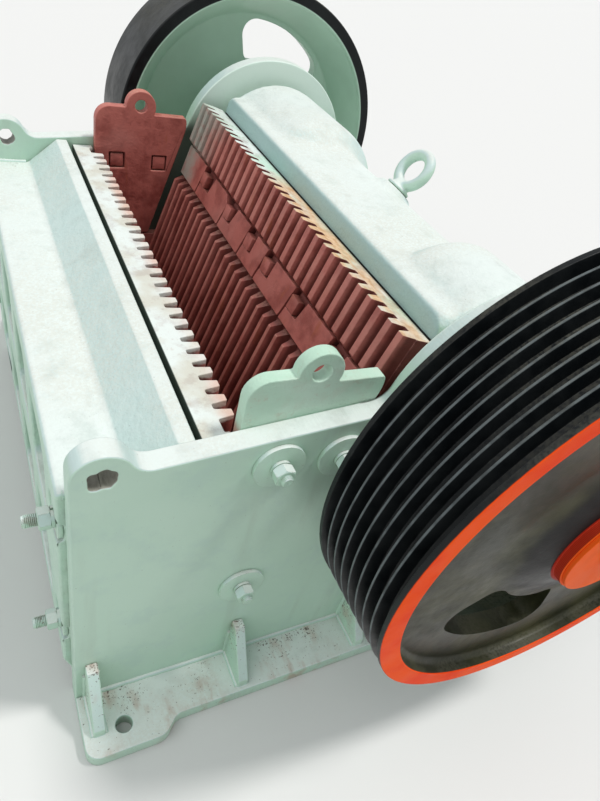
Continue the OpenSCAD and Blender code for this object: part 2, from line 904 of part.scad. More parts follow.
module wedge_bolt_places() {
    for (i = [0 : wedges - 1])
        on_jaw() translate([jaw_d, pitman_in - i * wedge_w - 38, -upper_len - 24])
            rotate([0, 90, 0]) children();
}

module jaw_wedges() {
    color(oxide) for (i = [0 : wedges - 1]) {
        y1 = pitman_in - i * wedge_w - wedge_gap / 2;
        y0 = y1 - wedge_w + wedge_gap;
        on_jaw() difference() {
            translate([wedge_face, y0, lower_top + 1]) cube([jaw_d - wedge_face, y1 - y0, wedge_h - 2]);
            translate([wedge_face - 1, y1 - notch_w, -upper_len - notch_h - 1])
                cube([26, notch_w + 1, notch_h + 1]);
            translate([wedge_face, y1 - notch_w, -upper_len - notch_h - 1]) rotate([45, 0, 0])
                translate([-1, -12, -12]) cube([26, 24, 24]);
            translate([0, pitman_in - i * wedge_w - 38, -upper_len - 24])
                rotate([0, 90, 0]) cylinder(h = jaw_d + 1, r = 12 + fit);
        }
    }
}

module jaw_wedge_bolts() {
    color(oxide) wedge_bolt_places() {
        translate([0, 0, -jaw_d + wedge_face + 25]) {
            cylinder(h = jaw_d - wedge_face - 10, r = 12);
            translate([-19, -19, -15]) cube([38, 38, 15]);
        }
    }
}

module toggle_seat() {
    color(steel) difference() {
        translate([box_back, -toggle_w / 2 - 20, toggle_z1 - 42]) cube([seat_t, toggle_w + 40, 84]);
        translate([toggle_x1, -toggle_w / 2 - 30, toggle_z1]) rotate([-90, 0, 0])
            cylinder(h = toggle_w + 60, r = nub_r + fit);
        for (s = [-1, 1]) translate([box_back - 1, s * rod_gap / 2 - 45, toggle_z1 - 50])
            cube([seat_t + 2, 90, 24]);
    }
}

cup_floor = bar_x + bar_t + spring_len + 20;
cup_skirt = 38;

module tension_rods() {
    color(steel) for (s = [-1, 1]) translate([box_back + 24, s * rod_gap / 2, rod_z]) {
        translate([0, -40, 0]) rotate([-90, 0, 0]) cylinder(h = 80, r = 10);
        rotate([-90, 0, 0]) translate([0, 0, -17]) cylinder(h = 34, r = 21);
        rotate([0, 90, 0]) cylinder(h = cup_floor + 70 - box_back - 24, r = rod_r);
        translate([cup_floor + 10 - box_back - 24, 0, 0]) rotate([0, 90, 0]) hex(50, 26);
        translate([cup_floor + 37 - box_back - 24, 0, 0]) rotate([0, 90, 0]) hex(50, 18);
    }
}

module spring_cups() {
    color(steel) for (s = [-1, 1])
        translate([cup_floor - cup_skirt, s * rod_gap / 2, rod_z]) rotate([0, 90, 0]) difference() {
            cylinder(h = cup_skirt + 10, r = cup_r + 6);
            translate([0, 0, -1]) cylinder(h = cup_skirt + 1, r = cup_r);
            cylinder(h = cup_skirt + 20, r = rod_r + fit);
        }
}

// Nodes

side_plate();  // side_plate_near
far_side() side_plate();  // side_plate_far
front_wall();
foot();  // foot_near
far_side() foot();  // foot_far
rear_wall();
adjusting_block();
adjusting_shims();
toggle_plate();
tension_bar();
tension_springs();
cheek_upper();  // cheek_upper_near
far_side() cheek_upper();  // cheek_upper_far
cheek_lower();  // cheek_lower_near
far_side() cheek_lower();  // cheek_lower_far
cheek_bolts();  // cheek_bolts_near
far_side() cheek_bolts();  // cheek_bolts_far
fixed_jaw();
fixed_jaw_bolts();
far_side() bearing_housing();  // bearing_housing_near
bearing_housing();  // bearing_housing_far
far_side() bearing_cover();  // bearing_cover_near
bearing_cover();  // bearing_cover_far
eccentric_shaft();
flywheel();
pulley();
shaft_collars();
shaft_end_plates();
pitman();
jaw_upper();
jaw_lower();
jaw_wedges();
jaw_wedge_bolts();
pitman_lifting_eye();
pitman_bearings();
pitman_end_covers();
toggle_seat();
tension_rods();
spring_cups();
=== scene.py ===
# Looks of the jaw crusher: paint, dust and wear, rounded castings, threaded bolts, welds and springs.
# Metres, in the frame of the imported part: +X towards the toggle end, -Y to the pulley, +Z up.
import json
import math
import bpy
import bmesh
from mathutils import Matrix, Vector, noise


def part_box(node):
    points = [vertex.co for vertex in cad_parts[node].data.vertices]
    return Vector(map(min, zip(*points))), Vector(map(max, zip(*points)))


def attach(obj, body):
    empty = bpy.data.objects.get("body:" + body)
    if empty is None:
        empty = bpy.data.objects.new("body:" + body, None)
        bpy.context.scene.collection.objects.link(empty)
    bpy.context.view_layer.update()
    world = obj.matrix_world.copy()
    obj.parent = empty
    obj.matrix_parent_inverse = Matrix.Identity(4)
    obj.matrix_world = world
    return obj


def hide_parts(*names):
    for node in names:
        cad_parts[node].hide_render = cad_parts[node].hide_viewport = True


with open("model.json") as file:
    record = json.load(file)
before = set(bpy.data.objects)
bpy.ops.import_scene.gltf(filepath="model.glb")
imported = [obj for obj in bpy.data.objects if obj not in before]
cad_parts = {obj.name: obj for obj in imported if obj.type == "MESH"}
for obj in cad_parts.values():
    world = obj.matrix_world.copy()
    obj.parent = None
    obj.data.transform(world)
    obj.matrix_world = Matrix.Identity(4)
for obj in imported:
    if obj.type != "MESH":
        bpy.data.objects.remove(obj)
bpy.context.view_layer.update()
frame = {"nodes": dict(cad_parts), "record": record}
print("frame loaded:", len(frame["nodes"]), "nodes")

scene = bpy.context.scene


def colours(**shades):
    # screen colours 0 to 255 as the shader's linear colours
    def linear(value):
        share = value / 255
        return share / 12.92 if share <= 0.04045 else ((share + 0.055) / 1.055) ** 2.4
    return {name: tuple(linear(value) for value in shade) + (1.0,) for name, shade in shades.items()}


# Camera: the photo's viewing angle
cameraSetup = {
    "place": (-0.709, -1.296, 1.496),
    "azimuth": 35.24,   # degrees from +Y towards +X
    "drop": 39.69,      # degrees below the horizon
    "roll": 16.26,
    "focal": 37.09,     # mm
    "sensor": 36,       # mm wide
    "clip": (0.01, 100),
}


def addObject(name, data):
    item = bpy.data.objects.new(name, data)
    scene.collection.objects.link(item)
    return item


def addCamera(setup):
    data = bpy.data.cameras.new("camera")
    data.sensor_fit = "HORIZONTAL"
    data.sensor_width = setup["sensor"]
    data.lens = setup["focal"]
    data.clip_start, data.clip_end = setup["clip"]
    turn = Matrix.Rotation(math.radians(-setup["azimuth"]), 4, "Z")
    tip = Matrix.Rotation(math.radians(90 - setup["drop"]), 4, "X")
    roll = Matrix.Rotation(math.radians(setup["roll"]), 4, "Z")
    scene.camera = addObject("camera", data)
    scene.camera.matrix_world = Matrix.Translation(setup["place"]) @ turn @ tip @ roll


addCamera(cameraSetup)


# Shader helpers. A socket's or node's id_data is the node tree that it is in.

def addNode(tree, kind, **values):
    # values name the node's own properties
    item = tree.nodes.new(kind)
    for key, value in values.items():
        setattr(item, key, value)
    return item


def feed(socket, source):
    # a socket takes another socket, or a plain value
    if isinstance(source, bpy.types.NodeSocket):
        socket.id_data.links.new(source, socket)
    else:
        socket.default_value = source


def feedInOrder(item, *sources):
    for socket, source in zip(item.inputs, sources):
        feed(socket, source)
    return item.outputs[0]


def mathNode(operation, *values, clamp=False):
    tree = next(value.id_data for value in values if isinstance(value, bpy.types.NodeSocket))
    return feedInOrder(addNode(tree, "ShaderNodeMath", operation=operation, use_clamp=clamp), *values)


def product(*values):
    result = values[0]
    for value in values[1:]:
        result = mathNode("MULTIPLY", result, value)
    return result


def measure(operation, first, second):
    # one number from two vectors: DOT_PRODUCT or DISTANCE
    item = addNode(first.id_data, "ShaderNodeVectorMath", operation=operation)
    feedInOrder(item, first, second)
    return item.outputs["Value"]


def mixColour(factor, first, second):
    item = addNode(factor.id_data, "ShaderNodeMix", data_type="RGBA", clamp_factor=True)
    for index, source in ((0, factor), (6, first), (7, second)):
        feed(item.inputs[index], source)
    return item.outputs[2]


def ramp(value, low, high, toLow=0.0, toHigh=1.0, curve="SMOOTHSTEP"):
    # a value between low and high becomes toLow to toHigh
    item = addNode(value.id_data, "ShaderNodeMapRange", clamp=True, interpolation_type=curve)
    return feedInOrder(item, value, low, high, toLow, toHigh)


def between(value, low, high, soft=0.0006):
    return product(ramp(value, low - soft, low + soft), ramp(value, high - soft, high + soft, 1.0, 0.0))


def noiseNode(place, scale, detail=3.0, rough=0.55, stretch=None):
    if stretch:
        mapping = addNode(place.id_data, "ShaderNodeMapping")
        feed(mapping.inputs["Vector"], place)
        feed(mapping.inputs["Scale"], stretch)
        place = mapping.outputs[0]
    item = addNode(place.id_data, "ShaderNodeTexNoise")
    for key, value in (("Vector", place), ("Scale", scale), ("Detail", detail), ("Roughness", rough)):
        feed(item.inputs[key], value)
    return item.outputs[0]


def shifted(value, place, reach, scale, detail=4, rough=0.55):
    # a value moved by noise, so that a border on it wanders
    return mathNode("MULTIPLY_ADD", noiseNode(place, scale, detail, rough), reach, value)


def raggedAbove(value, level, soft, rag, place, scale=16):
    # 1 above a level, with a ragged border of that depth
    broken = mathNode("SUBTRACT", noiseNode(place, scale, 5, 0.6), 0.5)
    return ramp(mathNode("MULTIPLY_ADD", broken, rag, value), level - soft, level + soft)


def objectPlace(tree):
    return addNode(tree, "ShaderNodeTexCoord").outputs["Object"]


def splitPlace(place):
    item = addNode(place.id_data, "ShaderNodeSeparateXYZ")
    feed(item.inputs[0], place)
    return item.outputs


def facing(place):
    # the surface's own direction in X, Y and Z
    return splitPlace(place.node.outputs["Normal"])


def newFinish(name):
    material = bpy.data.materials.new(name)
    material.use_nodes = True
    tree = material.node_tree
    return material, tree, tree.nodes["Principled BSDF"]


def addBump(shader, height, distance, strength=1.0):
    # each bump lies over those before it
    normal = shader.inputs["Normal"]
    bump = addNode(shader.id_data, "ShaderNodeBump")
    for key, value in (("Height", height), ("Distance", distance), ("Strength", strength)):
        feed(bump.inputs[key], value)
    if normal.links:
        feed(bump.inputs["Normal"], normal.links[0].from_socket)
    feed(normal, bump.outputs[0])


# Studio: pale floor, soft world, one large key lamp and a weak wide fill
studio = {
    "floorSeen": (0.76, 0.76, 0.75, 1),   # what the camera and reflections see
    "floorLit": (0.58, 0.58, 0.57, 1),    # what throws light back up
    "floorSize": 30,
    "floorRough": 0.9,
    "worldColour": (0.95, 0.98, 1.0, 1),
    "worldStrength": 0.52,
    "worldSeen": 0.86,
    "lamps": {   # power, place it shines from, angle and colour
        "keyLamp": (1.8, (0.80, -0.22, 1.70), 10, (1.0, 0.985, 0.96)),
        "fillLamp": (0.7, (-0.75, -0.15, 1.0), 50, (1.0, 1.0, 1.0)),
    },
}


def seenRays(tree):
    # 1 for what the camera sees, directly or in a reflection
    rays = addNode(tree, "ShaderNodeLightPath").outputs
    seen = mathNode("MAXIMUM", rays["Is Camera Ray"], rays["Is Glossy Ray"])
    return mathNode("MAXIMUM", seen, rays["Is Transmission Ray"])


def toMesh(name, work):
    mesh = bpy.data.meshes.new(name)
    work.to_mesh(mesh)
    work.free()
    return mesh


def addStudio(setup):
    work = bmesh.new()
    bmesh.ops.create_grid(work, x_segments=1, y_segments=1, size=setup["floorSize"])
    floor = addObject("floor", toMesh("floor", work))
    paint, tree, shader = newFinish("floorPaint")
    feed(shader.inputs["Roughness"], setup["floorRough"])
    feed(shader.inputs["Base Color"], mixColour(seenRays(tree), setup["floorLit"], setup["floorSeen"]))
    floor.data.materials.append(paint)

    scene.world = bpy.data.worlds.new("studioWorld")
    scene.world.use_nodes = True
    tree = scene.world.node_tree
    background = tree.nodes["Background"]
    feed(background.inputs["Color"], setup["worldColour"])
    feed(background.inputs["Strength"], ramp(seenRays(tree), 0, 1, setup["worldStrength"], setup["worldSeen"]))

    for name, (power, place, angle, colour) in setup["lamps"].items():
        data = bpy.data.lights.new(name, "SUN")
        data.energy = power
        data.angle = math.radians(angle)
        data.color = colour
        addObject(name, data).rotation_euler = (-Vector(place)).to_track_quat("-Z", "Y").to_euler()


addStudio(studio)
scene.view_settings.view_transform = "Standard"
print("camera and studio set")


# Effects that several finishes share

def newGroup(name, inputs, *outputs):
    # inputs as names and first values; gives the sockets to read and the sockets to feed
    tree = bpy.data.node_groups.new(name, "ShaderNodeTree")
    for label, value in inputs.items():
        socket = tree.interface.new_socket(name=label, in_out="INPUT", socket_type="NodeSocketFloat")
        socket.default_value = value
    for label in outputs:
        tree.interface.new_socket(name=label, in_out="OUTPUT", socket_type="NodeSocketFloat")
    return tree, addNode(tree, "NodeGroupInput").outputs, addNode(tree, "NodeGroupOutput").inputs


def useGroup(tree, name, **values):
    item = addNode(tree, "ShaderNodeGroup", node_tree=bpy.data.node_groups[name])
    for key, value in values.items():
        feed(item.inputs[key], value)
    return item.outputs


def makeEdgeWear():
    # 1 along sharp outer edges, broken up by noise
    tree, given, result = newGroup("edgeWear", {"Radius": 0.004, "Amount": 0.5}, "Mask")
    soft = addNode(tree, "ShaderNodeBevel", samples=4)
    feed(soft.inputs["Radius"], given["Radius"])
    flat = addNode(tree, "ShaderNodeNewGeometry")
    bend = mathNode("SUBTRACT", 1.0, measure("DOT_PRODUCT", soft.outputs[0], flat.outputs["Normal"]))
    worn = product(ramp(bend, 0.02, 0.2), ramp(noiseNode(objectPlace(tree), 60, 5), 0.46, 0.6))
    feed(result["Mask"], mathNode("MULTIPLY", worn, given["Amount"], clamp=True))


def makeDust():
    # dust that lies on faces looking up, more of it in patches
    tree, given, result = newGroup("dust", {"Amount": 0.5, "Patches": 4.0}, "Mask")
    place = objectPlace(tree)
    up = ramp(facing(place)[2], 0.25, 0.95)
    large = ramp(noiseNode(place, given["Patches"], 6, 0.5), 0.35, 0.65)
    lying = product(up, product(large, ramp(noiseNode(place, 170, 3), 0.3, 0.62)))
    feed(result["Mask"], mathNode("MULTIPLY", lying, given["Amount"], clamp=True))


def makeGrime():
    # painted shade in inner corners, with dirt in it
    tree, given, result = newGroup("grime", {"Reach": 0.03, "Amount": 0.6}, "Mask")
    shade = addNode(tree, "ShaderNodeAmbientOcclusion", samples=4)
    feed(shade.inputs["Distance"], given["Reach"])
    hidden = ramp(shade.outputs["AO"], 0.2, 0.75, 1.0, 0.0)
    held = product(hidden, ramp(noiseNode(objectPlace(tree), 22, 5), 0.3, 0.7, 0.3, 1.0))
    feed(result["Mask"], mathNode("MULTIPLY", held, given["Amount"], clamp=True))


def makeSpots():
    # small chips and rust points, gathered in loose regions
    tree, given, result = newGroup("spots", {"Scale": 45.0, "Cover": 0.1}, "Mask")
    place = objectPlace(tree)
    grain = noiseNode(place, given["Scale"], 8, 0.7)
    level = mathNode("SUBTRACT", 0.80, product(given["Cover"], 0.4))
    spots = ramp(grain, level, mathNode("ADD", level, 0.04), curve="LINEAR")
    region = ramp(noiseNode(place, 5, 2), 0.4, 0.62)
    feed(result["Mask"], mathNode("MULTIPLY", spots, region, clamp=True))


def makePaintFlow():
    # uneven thickness of sprayed paint: a height and a tone
    tree, given, result = newGroup("paintFlow", {"Coarse": 9.0, "Fine": 240.0}, "Height", "Tone")
    place = objectPlace(tree)
    coarse = noiseNode(place, given["Coarse"], 4, 0.5)
    middle = noiseNode(place, 45, 4)
    height = mathNode("MULTIPLY_ADD", noiseNode(place, given["Fine"], 2, 0.5), 0.25, middle)
    feed(result["Height"], mathNode("MULTIPLY_ADD", coarse, 1.4, height))
    feed(result["Tone"], mathNode("MULTIPLY_ADD", coarse, 0.65, product(middle, 0.35)))


for makeGroup in (makeEdgeWear, makeDust, makeGrime, makeSpots, makePaintFlow):
    makeGroup()


mintLook = colours(
    paint=(188, 221, 200),
    paintPale=(200, 228, 210),
    paintCool=(180, 208, 200),
    dustColour=(214, 214, 202),
    dirtColour=(112, 110, 92),
    primer=(128, 120, 106),
    rust=(126, 78, 46),
    # a painted bluish shade on sloped faces
    slope=(202, 222, 221),
    # painted sunlight on what looks up; the light tone also serves as a pale overspray
    bleached=(230, 238, 234),
    bleachedDark=(196, 208, 202),
)


def makeMintPaint(name, cast=0.0, wear=0.3, dust=0.45, grime=0.45, rust=0.1, cutEdges=False, stains=(),
                  over=None):
    # pale mint machine paint; cast is the roughness of the casting below it, stains are places where
    # the paint is torn off, as (centre, reach, strength, bare colour)
    look = mintLook
    material, tree, shader = newFinish(name)
    place = objectPlace(tree)
    flow = useGroup(tree, "paintFlow")
    colour = mixColour(ramp(noiseNode(place, 2.6), 0.4, 0.68, 0.0, 0.75), look["paint"], look["paintPale"])
    colour = mixColour(ramp(flow["Tone"], 0.48, 0.66, 0.0, 0.3), colour, look["paintCool"])
    # what looks up is painted as sunlit, in clouds and fine grains, and sloped faces take a painted bluish shade
    up = shifted(facing(place)[2], place, 0.16, 30, 5, 0.6)
    colour = mixColour(ramp(up, 0.42, 0.70, 0.0, 0.85), colour, look["slope"])
    cloud = ramp(noiseNode(place, 13, 7, 0.68), 0.50, 0.72, 0.0, 0.55)
    bleached = mixColour(cloud, look["bleached"], look["bleachedDark"])
    colour = mixColour(ramp(up, 0.80, 1.0, 0.0, 0.92), colour, bleached)
    streak = noiseNode(place, 16, 4, stretch=(1.0, 1.0, 0.1))
    colour = mixColour(ramp(streak, 0.54, 0.75, 0.0, 0.14), colour, look["dirtColour"])
    # painted shade in inner corners, with dirt in it
    colour = mixColour(useGroup(tree, "grime", Reach=0.045, Amount=grime)["Mask"], colour, look["dirtColour"])
    settled = useGroup(tree, "dust", Amount=dust, Patches=3.5)["Mask"]
    colour = mixColour(settled, colour, look["dustColour"])
    specks = ramp(noiseNode(place, 150, 6, 0.7), 0.66, 0.7, 0.0, 0.5)
    colour = mixColour(specks, colour, look["dirtColour"])
    bare = useGroup(tree, "spots", Scale=38.0, Cover=rust)["Mask"]
    rusty = mixColour(noiseNode(place, 90, 5), look["primer"], look["rust"])
    colour = mixColour(bare, colour, rusty)
    edges = useGroup(tree, "edgeWear", Radius=0.005, Amount=wear)["Mask"]
    colour = mixColour(edges, colour, look["primer"])
    for centre, reach, strength, metal in stains:
        near = ramp(measure("DISTANCE", place, centre), reach * 0.25, reach, 1.0, 0.0)
        torn = mathNode("MULTIPLY_ADD", near, 0.32, noiseNode(place, 55, 7, 0.72))
        torn = product(ramp(torn, 0.72, 0.8), near, strength)
        flecks = ramp(noiseNode(place, 120, 5, 0.65), 0.52, 0.66, 0.0, 0.7)
        colour = mixColour(torn, colour, mixColour(flecks, metal, look["rust"]))
        bare = mathNode("MAXIMUM", bare, torn, clamp=True)
    if over:
        colour = over(place, colour)
    feed(shader.inputs["Base Color"], colour)
    matt = mathNode("ADD", settled, bare, clamp=True)
    gloss = ramp(flow["Tone"], 0.35, 0.65, 0.38, 0.5)
    feed(shader.inputs["Roughness"], mathNode("MULTIPLY_ADD", matt, 0.35, gloss, clamp=True))
    addBump(shader, flow["Height"], 0.0009 + 0.0012 * cast, 0.6)
    if cast:
        addBump(shader, noiseNode(place, 110, 5, 0.62), 0.0018 * cast, 0.8)
        addBump(shader, noiseNode(place, 28, 4, 0.6), 0.006 * cast, 0.6)
    if cutEdges:
        # the torch leaves fine lines across a flame-cut plate's edge
        lines = noiseNode(place, 240, 3, stretch=(1.0, 0.05, 1.0))
        rim = ramp(mathNode("ABSOLUTE", facing(place)[1]), 0.3, 0.7, 1.0, 0.0)
        broken = ramp(noiseNode(place, 14, 4), 0.35, 0.65, 0.25, 1.0)
        addBump(shader, product(lines, rim, broken), 0.0015, 0.7)
    chipped = mathNode("ADD", bare, edges, clamp=True)
    addBump(shader, mathNode("SUBTRACT", 1.0, chipped), 0.0006)
    return material


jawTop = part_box("fixed_jaw")[1][2]
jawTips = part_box("fixed_jaw")[1][0]
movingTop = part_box("jaw_upper")[1][2]
jawPlace = Matrix.Translation((-0.029, 0, 0.907)) @ Matrix.Rotation(math.radians(16), 4, "Y")
toothPitch = 0.040
wedgeFace = 0.015   # how far the wedges' faces lie behind the tips

oxideLook = colours(
    oxide=(192, 110, 100),
    oxideDark=(160, 84, 76),
    oxidePink=(206, 136, 126),
    dustColour=(206, 160, 138),
    rust=(172, 92, 56),
    hollow=(74, 42, 38),
    groove=(100, 48, 42),
    tip=(204, 138, 124),
)


def alongJaw(place, axis):
    # a point's place in the movable jaw: 0 is how far behind the tips of its teeth, 2 how far up
    line = jawPlace.col[axis].to_3d()
    return mathNode("SUBTRACT", measure("DOT_PRODUCT", place, line), line.dot(jawPlace.translation))


def movingDepth(place):
    return alongJaw(place, 0)


def wedgeDepth(place):
    return mathNode("SUBTRACT", movingDepth(place), wedgeFace)


def fixedDepth(place):
    return mathNode("SUBTRACT", jawTips, splitPlace(place)[0])


def makeOxide(name, over=None, wear=0.5, dusty=0.35, hollows=0.5, toothDepth=None, rubbed=0.75):
    # red oxide primer; over(place, colour) lays the mint overspray on it, toothDepth(place) is how far
    # a point lies behind the tips of the teeth
    look = oxideLook
    material, tree, shader = newFinish(name)
    place = objectPlace(tree)
    flow = useGroup(tree, "paintFlow", Coarse=14.0)
    colour = mixColour(ramp(flow["Tone"], 0.38, 0.56), look["oxideDark"], look["oxide"])
    colour = mixColour(ramp(noiseNode(place, 5, 4), 0.5, 0.72, 0.0, 0.5), colour, look["oxidePink"])
    run = noiseNode(place, 30, 4, stretch=(1.0, 1.0, 0.15))
    colour = mixColour(ramp(run, 0.58, 0.75, 0.0, 0.55), colour, look["rust"])
    if toothDepth:
        # painted shade darkens the grooves between the teeth; the tips are rubbed pale
        depth = toothDepth(place)
        groove = ramp(shifted(depth, place, 0.006, 40), 0.004, 0.020)
        colour = mixColour(product(groove, 0.85), colour, look["groove"])
        tips = product(ramp(depth, 0.0008, 0.0026, 1.0, 0.0),
                       ramp(noiseNode(place, 22, 5), 0.3, 0.6, rubbed * 0.3, rubbed))
        colour = mixColour(tips, colour, look["tip"])
    # painted shade in the hollows, dust on what looks up, pale wear along the edges
    for effect, tone in ((useGroup(tree, "grime", Reach=0.02, Amount=hollows), "hollow"),
                         (useGroup(tree, "dust", Amount=dusty, Patches=8.0), "dustColour"),
                         (useGroup(tree, "edgeWear", Radius=0.003, Amount=wear), "tip")):
        colour = mixColour(effect["Mask"], colour, look[tone])
    if over:
        colour = over(place, colour)
    feed(shader.inputs["Base Color"], colour)
    feed(shader.inputs["Roughness"], ramp(flow["Tone"], 0.35, 0.65, 0.46, 0.64))
    addBump(shader, flow["Height"], 0.0016, 0.8)
    addBump(shader, noiseNode(place, 190, 4, 0.6), 0.0012, 0.8)
    return material


plateOut = abs(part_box("side_plate_near")[0][1])
plateIn = abs(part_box("side_plate_near")[1][1])
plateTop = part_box("side_plate_near")[1][2]
shaftX = (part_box("pulley")[0][0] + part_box("pulley")[1][0]) / 2
shaftZ = (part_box("pulley")[0][2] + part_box("pulley")[1][2]) / 2


sprayLook = colours(
    rustThrough=(176, 134, 108),
    behindPlate=(58, 66, 60),
    tipStain=(222, 176, 156),
    dustDeep=(206, 158, 108),
    dustPale=(228, 190, 150),
    farGrey=(172, 176, 164),
    pitmanFront=(162, 192, 192),
    jawGap=(34, 38, 36),
    ringBleached=(226, 243, 233),
    plateGap=(46, 52, 42),
    cutSteel=(130, 126, 116),
    cutSteelPale=(172, 172, 160),
    footRun=(176, 128, 104),
    footSpeck=(78, 58, 44),
)


def whitened(place, colour, mask, cover=0.62, rust=0.45, tones=("paintPale", "bleached")):
    # thin mint overspray with the red and some rust showing through
    first, second = (mintLook[tone] for tone in tones)
    pale = mixColour(ramp(noiseNode(place, 12), 0.35, 0.6), first, second)
    worn = ramp(noiseNode(place, 75, 6, 0.7), 0.58, 0.68, 0.0, rust)
    thin = ramp(noiseNode(place, 26, 6, 0.65), 0.36, 0.52, cover, 1.0)
    return mixColour(product(mask, thin), colour, mixColour(worn, pale, sprayLook["rustThrough"]))


def greyedEnd(place, colour, wander, low, high, amount=0.9):
    # pale grey overspray fading out from the flywheel's end of the chamber
    end = ramp(wander, low, high, 0.0, 0.95)
    thin = ramp(noiseNode(place, 34, 6, 0.65), 0.34, 0.54, 0.55, 1.0)
    return mixColour(product(end, thin, amount), colour, sprayLook["farGrey"])


def fixedJawSpray(place, colour):
    # the top and the first few millimetres of the sides; browner towards the tips of the teeth
    split = splitPlace(place)
    mask = raggedAbove(split["Z"], jawTop - 0.010, 0.005, 0.03, place, 24)
    colour = whitened(place, colour, mask, 0.8, 0.22, ("dustColour", "bleached"))
    # painted shade: the back of the plate is painted dark
    behind = ramp(split["X"], jawTips - 0.0765, jawTips - 0.0745, 1.0, 0.0)
    colour = mixColour(behind, colour, sprayLook["behindPlate"])
    tips = ramp(shifted(split["X"], place, 0.02, 40), jawTips - 0.030, jawTips + 0.004)
    stain = ramp(noiseNode(place, 6), 0.42, 0.62, 0.2, 0.75)
    return mixColour(product(mask, tips, stain), colour, sprayLook["tipStain"])


def movingJawSpray(place, colour):
    # only what looks up at the top, and more of it towards the flywheel
    split = splitPlace(place)
    wander = shifted(split["Y"], place, 0.16, 9)
    mask = product(ramp(facing(place)[2], 0.55, 0.75), ramp(split["Z"], movingTop - 0.034, movingTop - 0.028))
    colour = whitened(place, colour, mask)
    # orange dust lies along the middle and the near part of the strip behind the teeth
    near = ramp(wander, 0.10, 0.24, 1.0, 0.0)
    patches = ramp(noiseNode(place, 24, 5, stretch=(1, 0.35, 1)), 0.36, 0.60, 0.35, 0.95)
    dusty = mixColour(ramp(noiseNode(place, 60, 4), 0.4, 0.6), sprayLook["dustDeep"], sprayLook["dustPale"])
    colour = mixColour(product(mask, near, patches), colour, dusty)
    onTips = ramp(movingDepth(place), 0.002, 0.022, 1.0, 0.4)
    return greyedEnd(place, colour, wander, 0.44, 0.60, onTips)


def wedgeSpray(place, colour):
    return greyedEnd(place, colour, shifted(splitPlace(place)["Y"], place, 0.12, 9), 0.52, 0.62)


def nearCheekSpray(place, colour):
    height = splitPlace(place)["Z"]
    outer = ramp(facing(place)[1], -0.5, 0.3, 1.0, 0.0)
    level = raggedAbove(height, jawTop + 0.02, 0.02, 0.05, place)
    mask = mathNode("MAXIMUM", product(outer, ramp(height, jawTop - 0.06, jawTop - 0.03)), level)
    return whitened(place, colour, mask, 0.93, 0.2, ("paintPale", "paint"))


def jawGap(place, colour):
    # the pitman's front takes a painted bluish shade, and the gap behind the jaw's top is painted dark as shade,
    # since no light falls there
    front = ramp(facing(place)[0], -0.9, -0.6, 0.85, 0.0)
    colour = mixColour(front, colour, sprayLook["pitmanFront"])
    gap = product(between(movingDepth(place), 0.066, 0.086), between(alongJaw(place, 2), -0.030, 0.0015))
    return mixColour(gap, colour, sprayLook["jawGap"])


def plateWeather(place, colour):
    # painted sunlight inside the tall bearing rings, painted shade in the narrow gap between cheek plate and
    # movable jaw, and bare inside the flame-cut lug holes
    split = splitPlace(place)
    inner = ramp(mathNode("ABSOLUTE", split["Y"]), plateIn + 0.002, plateIn + 0.006, 1.0, 0.0)
    high = ramp(split["Z"], plateTop - 0.20, plateTop - 0.10, 0.0, 0.85)
    colour = mixColour(product(inner, high), colour, sprayLook["ringBleached"])
    gap = between(movingDepth(place), -0.045, 0.085, 0.008)
    low = ramp(split["Z"], 0.80, 0.86, 0.85, 0.0)
    colour = mixColour(product(inner, gap, low), colour, sprayLook["plateGap"])
    lining = ramp(mathNode("ABSOLUTE", facing(place)[1]), 0.4, 0.75, 1.0, 0.0)
    bare = mixColour(noiseNode(place, 70, 5), sprayLook["cutSteel"], sprayLook["cutSteelPale"])
    for centre in (nearLugHole, farLugHole):
        near = ramp(measure("DISTANCE", place, centre), 0.037, 0.044, 1.0, 0.0)
        colour = mixColour(product(near, lining), colour, bare)
    return colour


def footRust(place, colour):
    # fine dark specks, densest beside the plate, and faint red runs
    out = mathNode("ABSOLUTE", splitPlace(place)["Y"])
    beside = ramp(out, plateOut + 0.006, plateOut + 0.10, 1.0, 0.0)
    region = ramp(noiseNode(place, 7, 4), 0.42, 0.60)
    run = product(ramp(noiseNode(place, 26, 5, stretch=(1, 0.4, 1)), 0.45, 0.68, 0.0, 0.55), region)
    colour = mixColour(run, colour, sprayLook["footRun"])
    dense = mathNode("MULTIPLY_ADD", product(beside, region), 0.13, noiseNode(place, 210, 4, 0.6))
    return mixColour(ramp(dense, 0.66, 0.71, 0.0, 0.85), colour, sprayLook["footSpeck"])


wheelLook = colours(
    black=(12, 15, 17),
    blackWorn=(24, 27, 28),
    webBlack=(36, 38, 24),
    webWorn=(64, 64, 42),
    hubBlack=(16, 16, 16),
    landGrey=(104, 112, 114),
    orange=(255, 86, 0),
    orangeDeep=(248, 66, 0),
    hubFace=(248, 98, 20),
    orangeBand=(170, 36, 8),
    mint=(168, 198, 178),
    dustColour=(116, 114, 100),
    edge=(96, 100, 98),
    bandPale=(206, 70, 32),
    hubStreak=(196, 84, 38),
    scuff=(70, 58, 46),
)

wheelSizes = {"rim": 0.460, "rimInner": 0.423, "hub": 0.122, "hubOut": 0.013, "grooves": (0.030, 0.205)}


def radiusAbout(x, z):
    dx = mathNode("SUBTRACT", x, shaftX)
    dz = mathNode("SUBTRACT", z, shaftZ)
    return mathNode("SQRT", mathNode("MULTIPLY_ADD", dx, dx, product(dz, dz)))


